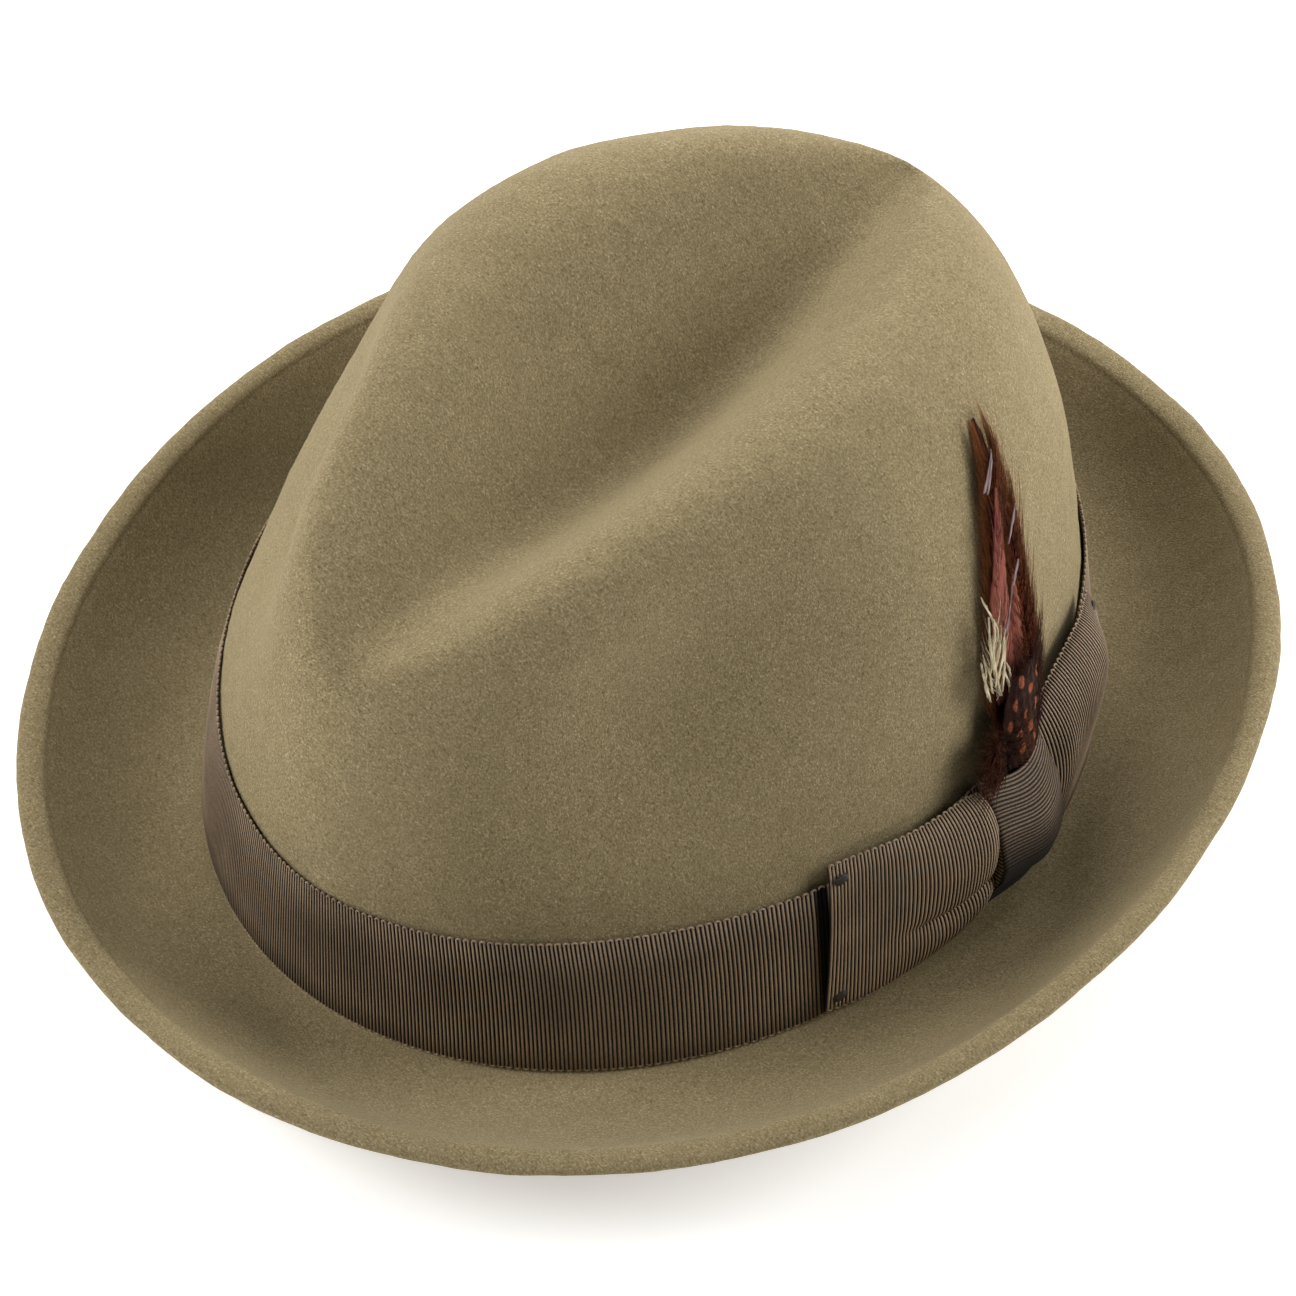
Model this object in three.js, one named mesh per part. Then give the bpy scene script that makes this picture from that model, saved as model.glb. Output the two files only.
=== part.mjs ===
// A felt fedora with a teardrop crown, a brim turned up all round, a grosgrain band and bow,
// and a spray of feathers that pulls up out of the pocket behind the bow's knot.
// Millimetres. +Z is up, the wearer faces -Y and the wearer's left is +X. The brim rests on z = 0,
// and the middle of its outline is on the Z axis. The shapes are made about the crown's middle.
import * as THREE from 'three';
import * as BufferGeometryUtils from 'three/addons/utils/BufferGeometryUtils.js';

const DEG = Math.PI / 180;
const AROUND = 56;              // steps round the hat
const GAP = 0.35;               // air between neighbouring pieces

// Felt
const FELT = 1.8;               // thickness of the crown and brim
const HEAD_HALF_LENGTH = 101;   // outside of the crown at its foot
const HEAD_HALF_WIDTH = 84.3;
const CROWN_HEIGHT = 115.1;     // height of the block before the dent is pressed in
const CROWN_FRONT_DROP = 0.031; // how much lower the block is towards the front, per mm
const CROWN_SIDE_LIFT = 0.00077; // how much the block rises towards its sides, per square mm
const WALL_SQUARENESS = 4.05;   // exponents of the crown's side profile
const TOP_SQUARENESS = 4.03;
const TAPER_X = 0.166;          // how far the crown draws in towards its top
const TAPER_Y = 0.088;
const CORNER_SOFTNESS = 0.076;
const WALL_SHARE = 0.8;         // part of the height that the wall rows cover

// Dent along the top, widest and deepest near its middle, pointed at the front and round at the
// back. Narrowing and rising say how early its two ends grow narrower and shallower.
const DENT = { depth: 35.5, halfWidth: 23.1, middle: -3.9, blend: 1.95 };
const DENT_FRONT = { length: 87, narrowing: 0.36, rising: 0.7 };
const DENT_BACK = { length: 82, narrowing: 0.5, rising: 0.8 };
// The two hollows at the front of the crown
const PINCH = { depth: 17.5, y: -47.9, z: 75.5, along: 39.6, across: 22.8, tilt: 0.59, lift: 0.1 };

// Brim: width and rise of the edge at each angle, as a mean and its first harmonics
const BRIM_WIDTH = { mean: 40.6, cos: [2.4, -0.5, -1.7], sin: [4.9, 0.3] };
const BRIM_RISE = { mean: 22.5, cos: [0.9, -5.1, 1.8], sin: [2.8, 2.5] };
const BRIM_CURVE = 2.1;         // how late the brim turns up
const BRIM_DROP = 0.046;        // slope away from the crown's foot
// The edge is folded over and rolls outward: where it starts, its share of the rise there, and
// its slope and turn from there on
const ROLL = { start: 0.81, foot: 0.955, slope: 0.2, turn: 0.155 };
const WELT_RAISE = 0.5;
const FLAT_SHARE = 0.2;         // inner part of the brim that lies on the table
const BRIM_CENTRE = { x: 3.85, y: -0.25 }; // middle of the brim's outline, from the crown's middle

// Hat band and bow
const BAND = { low: 0.6, high: 35, thickness: 1 };
const FRONT_WING = { from: 69, to: 90.5 };
const KNOT = { from: 91, to: 103.5, low: 3, high: 38.5, wall: 3.2 };
const REAR_WING = { from: 104, to: 124 };
const TACK_RADIUS = 0.9;

// Feather spray
const STEM = { angle: 96.5, radius: 0.7, low: 9, high: 38.4, offset: 2.5 };
const LEAF_THICKNESS = 0.5;

// Inside
const LINING = 0.6;
const LINING_AIR = 1.1;         // the lining hangs loose inside the felt
const SWEATBAND = { low: 3.6, high: 40.4, thickness: 1 };
const REED_RADIUS = 1.1;
const PIPING_RADIUS = 0.7;
const LINING_LOW = 0.34;        // wall parameters where the side lining starts and the tip starts
const LINING_SEAM = 1.1;

const COLOURS = {
  felt: 0x7d7250, ribbon: 0x4b3b2b, thread: 0x231a13, hackle: 0x5a2a1e, maroon: 0x6d3a34,
  cream: 0xcfc3a4, guinea: 0x3a1c14, fluff: 0x2b1711, quill: 0xb9a6a0, leather: 0x5e4028,
  satin: 0x4f4630, reed: 0x8a8064, tab: 0xe8e4da,
};

const clamp01 = (x) => Math.min(Math.max(x, 0), 1);
const smooth = (x) => clamp01(x) ** 2 * (3 - 2 * clamp01(x));
const signedPower = (x, p) => Math.sign(x) * Math.abs(x) ** p;
const range = (n) => Array.from({ length: n }, (_, i) => i);

function harmonics({ mean, cos, sin }, phi) {
  const even = cos.reduce((sum, c, i) => sum + c * Math.cos((i + 1) * phi), 0);
  const odd = sin.reduce((sum, c, i) => sum + c * Math.sin((i + 1) * phi), 0);
  return mean + even + odd;
}

// ---- Surfaces: phi runs from the front (0) towards the wearer's left -------------------------

// Side profile of the crown: s is 0 at the foot, 1 at the top of the wall and 2 at the middle.
function crownProfile(s) {
  const shoulder = Math.asin(WALL_SHARE ** (WALL_SQUARENESS / 2));
  if (s <= 1) {
    const theta = Math.asin((WALL_SHARE * s) ** (WALL_SQUARENESS / 2));
    return { zeta: WALL_SHARE * s, rho: Math.cos(theta) ** (2 / TOP_SQUARENESS) };
  }
  const rho = (2 - s) * Math.cos(shoulder) ** (2 / TOP_SQUARENESS);
  const theta = Math.acos(rho ** (TOP_SQUARENESS / 2));
  return { zeta: Math.sin(theta) ** (2 / WALL_SQUARENESS), rho };
}

function pressPinch(p, side) {
  const dy = p.y - PINCH.y;
  const dz = p.z - PINCH.z;
  const along = dy * Math.cos(PINCH.tilt) + dz * Math.sin(PINCH.tilt);
  const across = dz * Math.cos(PINCH.tilt) - dy * Math.sin(PINCH.tilt);
  const fade = Math.exp(-((along / PINCH.along) ** 2) - (across / PINCH.across) ** 2);
  const push = PINCH.depth * fade * smooth((p.x * side + 2) / 24);
  p.x -= side * push;
  p.y += PINCH.lift * push;
}

function pressDent(p) {
  const y = p.y - DENT.middle;
  const end = y < 0 ? DENT_FRONT : DENT_BACK;
  const room = Math.max(1 - (y / end.length) ** 2, 0);
  const halfWidth = DENT.halfWidth * room ** end.narrowing;
  const depth = DENT.depth * room ** end.rising;
  const aside = Math.min(Math.abs(p.x) / Math.max(halfWidth, 0.001), 6);
  const profile = Math.exp(-(aside ** DENT.blend));
  p.z -= depth * profile * smooth((p.z / CROWN_HEIGHT - 0.55) / 0.35);
}

function crownOuter(phi, s) {
  const { zeta, rho } = crownProfile(s);
  const power = 1 + CORNER_SOFTNESS * zeta;
  const p = new THREE.Vector3(
    HEAD_HALF_WIDTH * rho * (1 - TAPER_X * zeta) * signedPower(Math.sin(phi), power),
    -HEAD_HALF_LENGTH * rho * (1 - TAPER_Y * zeta) * signedPower(Math.cos(phi), power), 0);
  p.z = zeta * (CROWN_HEIGHT + CROWN_FRONT_DROP * p.y + CROWN_SIDE_LIFT * p.x * p.x);
  pressPinch(p, 1);
  pressPinch(p, -1);
  pressDent(p);
  p.z += FELT;
  return p;
}

function brimLift(t) {
  const roll = Math.max((t - ROLL.start) / (1 - ROLL.start), 0);
  const foot = ROLL.foot * (Math.min(t, ROLL.start) / ROLL.start) ** BRIM_CURVE;
  return foot + ROLL.slope * roll - ROLL.turn * roll ** 2;
}

function brimOuter(phi, t) {
  const width = harmonics(BRIM_WIDTH, phi);
  const rise = harmonics(BRIM_RISE, phi);
  const run = width * (t - 0.1 * Math.min(rise / 25, 2) * t ** 4);
  const out = new THREE.Vector3(Math.sin(phi) / HEAD_HALF_WIDTH, -Math.cos(phi) / HEAD_HALF_LENGTH, 0);
  out.normalize();
  return new THREE.Vector3(
    HEAD_HALF_WIDTH * Math.sin(phi) + out.x * run,
    -HEAD_HALF_LENGTH * Math.cos(phi) + out.y * run,
    FELT + rise * brimLift(t) - BRIM_DROP * width * t);
}

// A point moved off a surface by a distance, along the surface's outward normal.
function offsetPoint(surface, phi, t, distance) {
  const step = 1e-3;
  const p = surface(phi, t);
  const across = surface(phi + step, t).sub(surface(phi - step, t));
  const up = surface(phi, t + step).sub(surface(phi, Math.max(t - step, 0)));
  const normal = across.cross(up).normalize();
  if (surface === brimOuter) normal.negate();
  return p.addScaledVector(normal, distance);
}

const crownPoint = (phi, s, distance) => offsetPoint(crownOuter, phi, s, distance);
const wallParameter = (z) => (z - FELT) / (CROWN_HEIGHT * WALL_SHARE);
const wallPoint = (phi, z, distance) => crownPoint(phi, wallParameter(z), distance);

// ---- Solids ---------------------------------------------------------------------------------

// Joins a row of equal closed loops into a solid. A loop of one point is a pole. With wrap the
// last loop joins the first.
function loft(loops, wrap = false) {
  const points = [];
  const starts = loops.map((loop) => points.push(...loop) - loop.length);
  const index = [];
  const joins = wrap ? loops.length : loops.length - 1;
  for (let row = 0; row < joins; row += 1) {
    const next = (row + 1) % loops.length;
    const count = Math.max(loops[row].length, loops[next].length);
    for (let i = 0; i < count; i += 1) {
      const j = (i + 1) % count;
      const at = (r, k) => starts[r] + (loops[r].length === 1 ? 0 : k);
      if (loops[row].length > 1) index.push(at(row, i), at(row, j), at(next, j));
      if (loops[next].length > 1) index.push(at(row, i), at(next, j), at(next, i));
    }
  }
  const flat = new Float32Array(points.flatMap((p) => [p.x, p.y, p.z]));
  const geometry = new THREE.BufferGeometry();
  geometry.setAttribute('position', new THREE.BufferAttribute(flat, 3));
  geometry.setIndex(volumeOf(points, index) < 0 ? index.reverse() : index);
  geometry.computeVertexNormals();
  return geometry;
}

function volumeOf(points, index) {
  let volume = 0;
  for (let i = 0; i < index.length; i += 3) {
    const [a, b, c] = [points[index[i]], points[index[i + 1]], points[index[i + 2]]];
    volume += a.dot(b.clone().cross(c)) / 6;
  }
  return volume;
}

const centre = (loop) => loop.reduce((sum, p) => sum.add(p), new THREE.Vector3()).divideScalar(loop.length);
const capped = (loops) => [[centre(loops[0])], ...loops, [centre(loops[loops.length - 1])]];
const ring = (pointAt) => range(AROUND).map((i) => pointAt((i * 2 * Math.PI) / AROUND));

function sub(name, geometry, color, roughness = 0.9) {
  const material = new THREE.MeshStandardMaterial({ color, roughness, metalness: 0 });
  const mesh = new THREE.Mesh(geometry, material);
  mesh.name = name;
  return mesh;
}

// ---- Felt -----------------------------------------------------------------------------------

// Rows of the crown from the foot up, without the foot and the middle.
const CROWN_ROWS = [0.14, 0.28, 0.42, 0.56, 0.7, 0.84, 1, 1.05, 1.11, 1.19, 1.28, 1.4, 1.53, 1.66, 1.8, 1.92];
const BRIM_ROWS = [0.12, 0.26, 0.4, 0.53, 0.65, 0.76];
const UNDER_ROWS = [0.94, 0.84, 0.7, 0.54, 0.38, 0.2];
const RIM_STEPS = 4;

function brimUpperRow(t, raise) {
  return ring((phi) => offsetPoint(brimOuter, phi, t, raise));
}

function rimRows() {
  const radius = (FELT + WELT_RAISE) / 2;
  const tipInset = 0.02;
  return range(RIM_STEPS + 1).map((k) => ring((phi) => {
    const turn = (k / RIM_STEPS) * Math.PI;
    const up = offsetPoint(brimOuter, phi, 1 - tipInset, WELT_RAISE);
    const down = offsetPoint(brimOuter, phi, 1 - tipInset, -FELT);
    const middle = up.clone().add(down).multiplyScalar(0.5);
    const out = brimOuter(phi, 1).sub(brimOuter(phi, 0.96)).normalize();
    return middle.lerp(up, Math.cos(turn)).addScaledVector(out, radius * Math.sin(turn));
  }));
}

function brimUnderRow(t) {
  return ring((phi) => {
    const p = offsetPoint(brimOuter, phi, t, -FELT);
    p.z = t <= FLAT_SHARE ? 0 : Math.max(p.z, 0);
    return p;
  });
}

function feltBody() {
  const welt = ROLL.start;
  const foot = ring((phi) => crownPoint(phi, 0, -FELT).setZ(0));
  const top = crownOuter(0, 2);
  const loops = [
    [top],
    ...[...CROWN_ROWS].reverse().map((s) => ring((phi) => crownOuter(phi, s))),
    ring((phi) => crownOuter(phi, 0)),
    ...BRIM_ROWS.map((t) => brimUpperRow(t, 0)),
    brimUpperRow(welt - 0.01, 0),
    brimUpperRow(welt + 0.01, WELT_RAISE),
    ...rimRows(),
    ...UNDER_ROWS.map(brimUnderRow),
    foot,
    ...CROWN_ROWS.map((s) => ring((phi) => crownPoint(phi, s, -FELT))),
    [top.clone().setZ(top.z - FELT)],
  ];
  return sub('felt_body', loft(loops), COLOURS.felt, 0.95);
}

// ---- Band and bow ---------------------------------------------------------------------------

// A closed band that follows the crown's wall between two heights and two distances off it.
function wallBand({ low, high }, near, far) {
  const [bottom, top] = [wallParameter(low), wallParameter(high)];
  const rows = [bottom, ...CROWN_ROWS.filter((s) => s > bottom + 0.03 && s < top - 0.03), top];
  const section = (phi) => [
    ...rows.map((s) => crownPoint(phi, s, near)),
    ...[...rows].reverse().map((s) => crownPoint(phi, s, far)),
  ];
  return loft(ring(section), true);
}

const bandFace = GAP + BAND.thickness;

function hatBand() {
  return sub('hat_band', wallBand({ low: FELT + BAND.low, high: BAND.high }, GAP, bandFace), COLOURS.ribbon);
}

// One wing of the bow: a flattened loop of ribbon, thin at its free end and full at the knot.
function bowWing(name, { from, to }, fullness, heights) {
  const steps = 7;
  const rows = 4;
  const loops = range(steps + 1).map((i) => {
    const u = i / steps;
    const phi = (from + (to - from) * u) * DEG;
    const [low, high] = heights(u);
    const at = (k, distance) => wallPoint(phi, low + ((high - low) * k) / rows, distance);
    const inner = range(rows + 1).map((k) => at(k, bandFace + GAP));
    const outer = range(rows + 1).map((k) => {
      const bulge = Math.sin(Math.PI * clamp01(0.12 + (0.76 * k) / rows));
      return at(k, bandFace + GAP + 1 + fullness(u) * bulge);
    });
    return [...inner, ...outer.reverse()];
  });
  return sub(name, loft(capped(loops)), COLOURS.ribbon);
}

const frontWing = () => bowWing('bow_front_wing', FRONT_WING, (u) => 1 + 4 * u, (u) => [4 + 3 * u, 39 - u]);
const rearWing = () => bowWing('bow_rear_wing', REAR_WING, (u) => 4.5 + 1.5 * Math.sin(3 * u) - 2.5 * u,
  (u) => [5 + u, 37 + 2.5 * u]);

// The knot wraps the bow: closed below, open above, so it forms the pocket for the feathers.
function bowKnot() {
  const steps = 6;
  const near = bandFace + GAP;
  const loops = range(steps + 1).map((i) => {
    const u = i / steps;
    const phi = (KNOT.from + (KNOT.to - KNOT.from) * u) * DEG;
    const full = 6.8 + 1.6 * Math.sin(Math.PI * u);
    const pocket = full - KNOT.wall;
    const middle = (KNOT.low + KNOT.high) / 2;
    return [
      wallPoint(phi, KNOT.low, near), wallPoint(phi, KNOT.low + 1, full - 1),
      wallPoint(phi, KNOT.low + 6, full), wallPoint(phi, middle, full + 0.6), wallPoint(phi, KNOT.high - 4, full),
      wallPoint(phi, KNOT.high, full - 1), wallPoint(phi, KNOT.high, pocket), wallPoint(phi, middle, pocket),
      wallPoint(phi, KNOT.low + 3, pocket), wallPoint(phi, KNOT.low + 3, near),
    ];
  });
  return sub('bow_knot', loft(capped(loops)), COLOURS.ribbon);
}

function tack(name, angle, z, distance) {
  const mesh = sub(name, new THREE.SphereGeometry(TACK_RADIUS, 8, 6), COLOURS.thread);
  mesh.position.copy(wallPoint(angle * DEG, z, distance));
  return mesh;
}

function bowTacks() {
  const proud = bandFace + 2 * GAP + 1 + TACK_RADIUS;
  return [
    tack('tack_front_upper', 70.5, 37.5, proud + 1.1),
    tack('tack_front_lower', 70.5, 6, proud + 1.1),
    tack('tack_rear_upper', 122.7, 37.5, proud + 1.7),
    tack('tack_rear_lower', 122.7, 7.5, proud + 1.7),
  ];
}

// ---- Feathers -------------------------------------------------------------------------------

const stemPoint = (z) => wallPoint(STEM.angle * DEG, z, STEM.offset);

// The line that the spray follows up and over the crown's shoulder: s along it is 0 to 1.
function sprayPoint(s, sideways, distance) {
  const climb = 0.3 + 0.86 * s;
  const angle = STEM.angle + 14 * s ** 1.6 + sideways;
  return crownPoint(angle * DEG, climb, distance);
}

// A blade: pointed at both ends, widest at full, lying off the crown by its distance.
function feather(name, color, { from, to, side, distance, width, full = 0.5 }) {
  const steps = 9;
  const degrees = 1 / (HEAD_HALF_WIDTH * DEG);
  const at = (s, across, off) => sprayPoint(s, side + across * degrees, distance + off);
  const loops = range(steps - 1).map((i) => {
    const u = (i + 1) / steps;
    const s = from + (to - from) * u;
    const swell = u < full ? Math.sin((Math.PI / 2) * (u / full)) : Math.cos((Math.PI / 2) * ((u - full) / (1 - full)));
    const half = Math.max((width / 2) * swell ** 0.6, 0.5);
    return [at(s, -half, 0), at(s, 0, LEAF_THICKNESS / 2), at(s, half, 0), at(s, 0, -LEAF_THICKNESS / 2)];
  });
  return sub(name, loft([[at(from, 0, 0)], ...loops, [at(to, 0, 0)]]), color, 0.6);
}

function featherStem() {
  const low = stemPoint(STEM.low);
  const high = stemPoint(STEM.high);
  const rod = new THREE.CylinderGeometry(STEM.radius, STEM.radius, low.distanceTo(high), 10);
  const mesh = sub('feather_stem', rod, COLOURS.quill, 0.4);
  mesh.position.copy(low).add(high).multiplyScalar(0.5);
  mesh.quaternion.setFromUnitVectors(new THREE.Vector3(0, 1, 0), high.sub(low).normalize());
  return mesh;
}

function featherBinding() {
  const [inner, outer, length, rounding] = [STEM.radius + 0.3, STEM.radius + 1.05, 2.4, 0.4];
  const profile = [[inner, 0], [outer, rounding], [outer, length - rounding], [inner, length], [inner, 0]];
  const geometry = BufferGeometryUtils.mergeVertices(
    new THREE.LatheGeometry(profile.map(([r, y]) => new THREE.Vector2(r, y)), 12).deleteAttribute('uv')
      .deleteAttribute('normal'));
  geometry.computeVertexNormals();
  const mesh = sub('feather_binding', geometry, COLOURS.thread);
  const start = stemPoint(STEM.high - length - 0.5);
  mesh.position.copy(start);
  mesh.quaternion.setFromUnitVectors(new THREE.Vector3(0, 1, 0), stemPoint(STEM.high).sub(start).normalize());
  return mesh;
}

function featherSpray() {
  return [
    featherStem(),
    featherBinding(),
    feather('feather_hackle_long', COLOURS.hackle, { from: 0.13, to: 0.99, side: 0, distance: 1.2, width: 10 }),
    feather('feather_hackle_short', COLOURS.hackle, { from: 0.13, to: 0.8, side: 2.5, distance: 2.2, width: 9 }),
    feather('feather_maroon', COLOURS.maroon, { from: 0.13, to: 0.84, side: 0.5, distance: 3.2, width: 6.5 }),
    feather('feather_cream', COLOURS.cream, { from: 0.13, to: 0.68, side: -2.6, distance: 4.2, width: 5 }),
    feather('feather_guinea', COLOURS.guinea, { from: 0.13, to: 0.5, side: 1, distance: 5.2, width: 9, full: 0.4 }),
    feather('feather_fluff', COLOURS.fluff, { from: 0.13, to: 0.4, side: -1, distance: 6.2, width: 8, full: 0.4 }),
    feather('feather_quill_lilac', COLOURS.quill, { from: 0.15, to: 0.74, side: 3.4, distance: 4.2, width: 1.6 }),
  ];
}

// ---- Inside ---------------------------------------------------------------------------------

const liningNear = -(FELT + LINING_AIR);
const liningFar = liningNear - LINING;
const leatherNear = liningFar - GAP;
const leatherFar = leatherNear - SWEATBAND.thickness;

function sweatband() {
  return sub('sweatband', wallBand(SWEATBAND, leatherNear, leatherFar), COLOURS.leather, 0.55);
}

// A thin cord that runs round the hat: its section is a polygon about a line off the crown.
function cordRing(name, s, distance, radius, color) {
  const sides = 6;
  const loops = ring((phi) => {
    const middle = crownPoint(phi, s, distance);
    const out = crownPoint(phi, s, distance + 1).sub(middle);
    const along = crownPoint(phi + 0.01, s, distance).sub(crownPoint(phi - 0.01, s, distance)).normalize();
    const up = along.cross(out).normalize();
    return range(sides).map((k) => {
      const a = (k * 2 * Math.PI) / sides;
      return middle.clone().addScaledVector(out, radius * Math.cos(a)).addScaledVector(up, radius * Math.sin(a));
    });
  });
  return sub(name, loft(loops, true), color, 0.6);
}

const sweatbandReed = () => cordRing('sweatband_reed', 0.002, leatherNear - REED_RADIUS / 2, REED_RADIUS, COLOURS.reed);
const liningPiping = () => cordRing('lining_piping', LINING_SEAM, liningFar - GAP - PIPING_RADIUS, PIPING_RADIUS,
  COLOURS.satin);

function liningSide() {
  const rows = [LINING_LOW, ...CROWN_ROWS.filter((s) => s > LINING_LOW && s < LINING_SEAM - 0.03), LINING_SEAM - 0.01];
  const section = (phi) => [
    ...rows.map((s) => crownPoint(phi, s, liningNear)),
    ...[...rows].reverse().map((s) => crownPoint(phi, s, liningFar)),
  ];
  return sub('lining_side', loft(ring(section), true), COLOURS.satin, 0.4);
}

function liningTip() {
  const rows = [LINING_SEAM + 0.01, ...CROWN_ROWS.filter((s) => s > LINING_SEAM + 0.03)];
  const top = crownOuter(0, 2);
  const loops = [
    [top.clone().setZ(top.z + liningNear)],
    ...[...rows].reverse().map((s) => ring((phi) => crownPoint(phi, s, liningNear))),
    ...rows.map((s) => ring((phi) => crownPoint(phi, s, liningFar))),
    [top.clone().setZ(top.z + liningFar)],
  ];
  return sub('lining_tip', loft(loops), COLOURS.satin, 0.4);
}

// A flat piece that lies on the inside of the sweatband, between two angles and two heights.
function insidePatch(name, color, { from, to, low, high, lift, thickness }) {
  const near = leatherFar - GAP - lift;
  const loops = range(5).map((i) => {
    const phi = (from + ((to - from) * i) / 4) * DEG;
    const [bottom, top] = [low(i / 4), high(i / 4)];
    return [wallPoint(phi, bottom, near), wallPoint(phi, top, near),
      wallPoint(phi, top, near - thickness), wallPoint(phi, bottom, near - thickness)];
  });
  return sub(name, loft(capped(loops)), color, 0.7);
}

function insideTrim() {
  const flare = (u) => 1 + 2.6 * Math.abs(2 * u - 1);
  return [
    insidePatch('sweatband_seam_tape', COLOURS.leather,
      { from: 177, to: 183, low: () => 6, high: () => 38, lift: 0, thickness: 0.6 }),
    insidePatch('sweatband_bow', COLOURS.ribbon,
      { from: 173.5, to: 186.5, low: (u) => 12 - flare(u), high: (u) => 12 + flare(u), lift: 1, thickness: 1.4 }),
    insidePatch('size_tab', COLOURS.tab,
      { from: 192, to: 201, low: () => 14, high: () => 24, lift: 0, thickness: 0.4 }),
  ];
}

// ---- The hat --------------------------------------------------------------------------------

const crownParts = new THREE.Group();
crownParts.position.set(-BRIM_CENTRE.x, -BRIM_CENTRE.y, 0);
crownParts.add(feltBody(), hatBand(), frontWing(), rearWing(), bowKnot(), ...bowTacks());
crownParts.add(sweatband(), sweatbandReed(), liningSide(), liningTip(), liningPiping(), ...insideTrim());

const spray = new THREE.Group();
spray.add(...featherSpray());
crownParts.add(spray);

const hat = new THREE.Group();
hat.add(crownParts);

export default hat;
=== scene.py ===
"""A felt fedora: pinched crown, upturned brim, grosgrain band with a side bow, and a feather spray."""
import math

import bpy
import numpy as np
from mathutils import Matrix, Vector


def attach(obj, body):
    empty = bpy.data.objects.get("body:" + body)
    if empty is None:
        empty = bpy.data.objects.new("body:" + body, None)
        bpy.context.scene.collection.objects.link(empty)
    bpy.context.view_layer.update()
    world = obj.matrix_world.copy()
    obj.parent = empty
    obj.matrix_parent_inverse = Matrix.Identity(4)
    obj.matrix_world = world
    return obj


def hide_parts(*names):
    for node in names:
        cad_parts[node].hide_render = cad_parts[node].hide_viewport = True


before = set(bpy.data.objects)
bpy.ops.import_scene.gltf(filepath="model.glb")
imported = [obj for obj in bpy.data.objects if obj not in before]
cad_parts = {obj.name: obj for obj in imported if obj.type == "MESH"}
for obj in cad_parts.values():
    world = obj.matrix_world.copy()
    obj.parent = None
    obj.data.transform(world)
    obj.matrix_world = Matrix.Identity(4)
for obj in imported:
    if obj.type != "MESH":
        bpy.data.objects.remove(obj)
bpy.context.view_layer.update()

# ---- Sizes of the hat, in millimetres: the same numbers as the solid model -----------------
FELT = 1.8
HALF_LENGTH, HALF_WIDTH = 101.0, 84.3
CROWN_HEIGHT, FRONT_DROP, SIDE_LIFT = 115.1, 0.031, 0.00077
WALL_SQUARENESS, TOP_SQUARENESS = 4.05, 4.03
TAPER_X, TAPER_Y, CORNER_SOFTNESS, WALL_SHARE = 0.166, 0.088, 0.076, 0.8
DENT_DEPTH, DENT_HALF_WIDTH, DENT_MIDDLE, DENT_BLEND = 35.5, 23.1, -3.9, 1.95
DENT_FRONT = (87.0, 0.36, 0.7)     # length, narrowing, rising
DENT_BACK = (82.0, 0.5, 0.8)
PINCH_DEPTH, PINCH_Y, PINCH_Z = 17.5, -47.9, 75.5
PINCH_ALONG, PINCH_ACROSS, PINCH_TILT, PINCH_LIFT = 39.6, 22.8, 0.59, 0.1
BRIM_WIDTH = (40.6, (2.4, -0.5, -1.7), (4.9, 0.3))
BRIM_RISE = (22.5, (0.9, -5.1, 1.8), (2.8, 2.5))
BRIM_CURVE, BRIM_DROP = 2.1, 0.046
ROLL_START, ROLL_FOOT, ROLL_SLOPE, ROLL_TURN = 0.81, 0.955, 0.20, 0.155   # the edge rolls outward
WELT_RAISE, FLAT_SHARE = 0.5, 0.2
SHIFT = np.array([-3.85, 0.25, 0.0])   # from the crown's middle to the middle of the brim's outline
GAP, BAND_THICKNESS = 0.35, 1.0
BAND_LOW, BAND_HIGH = 2.4, 35.0
BAND_FACE = GAP + BAND_THICKNESS
RIB = 0.875                        # pitch of the ribbon's ribs
LINING_NEAR, LINING_FAR = -2.9, -3.5
LEATHER_NEAR, LEATHER_FAR = -3.85, -4.85
MM = 0.001
DEG = math.pi / 180
TAU = 2 * math.pi


def smooth(t):
    t = np.clip(t, 0, 1)
    return t * t * (3 - 2 * t)


def signed_power(x, p):
    return np.sign(x) * np.abs(x) ** p


def harmonics(terms, phi):
    mean, cos, sin = terms
    total = mean + 0 * phi
    for k, c in enumerate(cos, 1):
        total = total + c * np.cos(k * phi)
    for k, c in enumerate(sin, 1):
        total = total + c * np.sin(k * phi)
    return total


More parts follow.
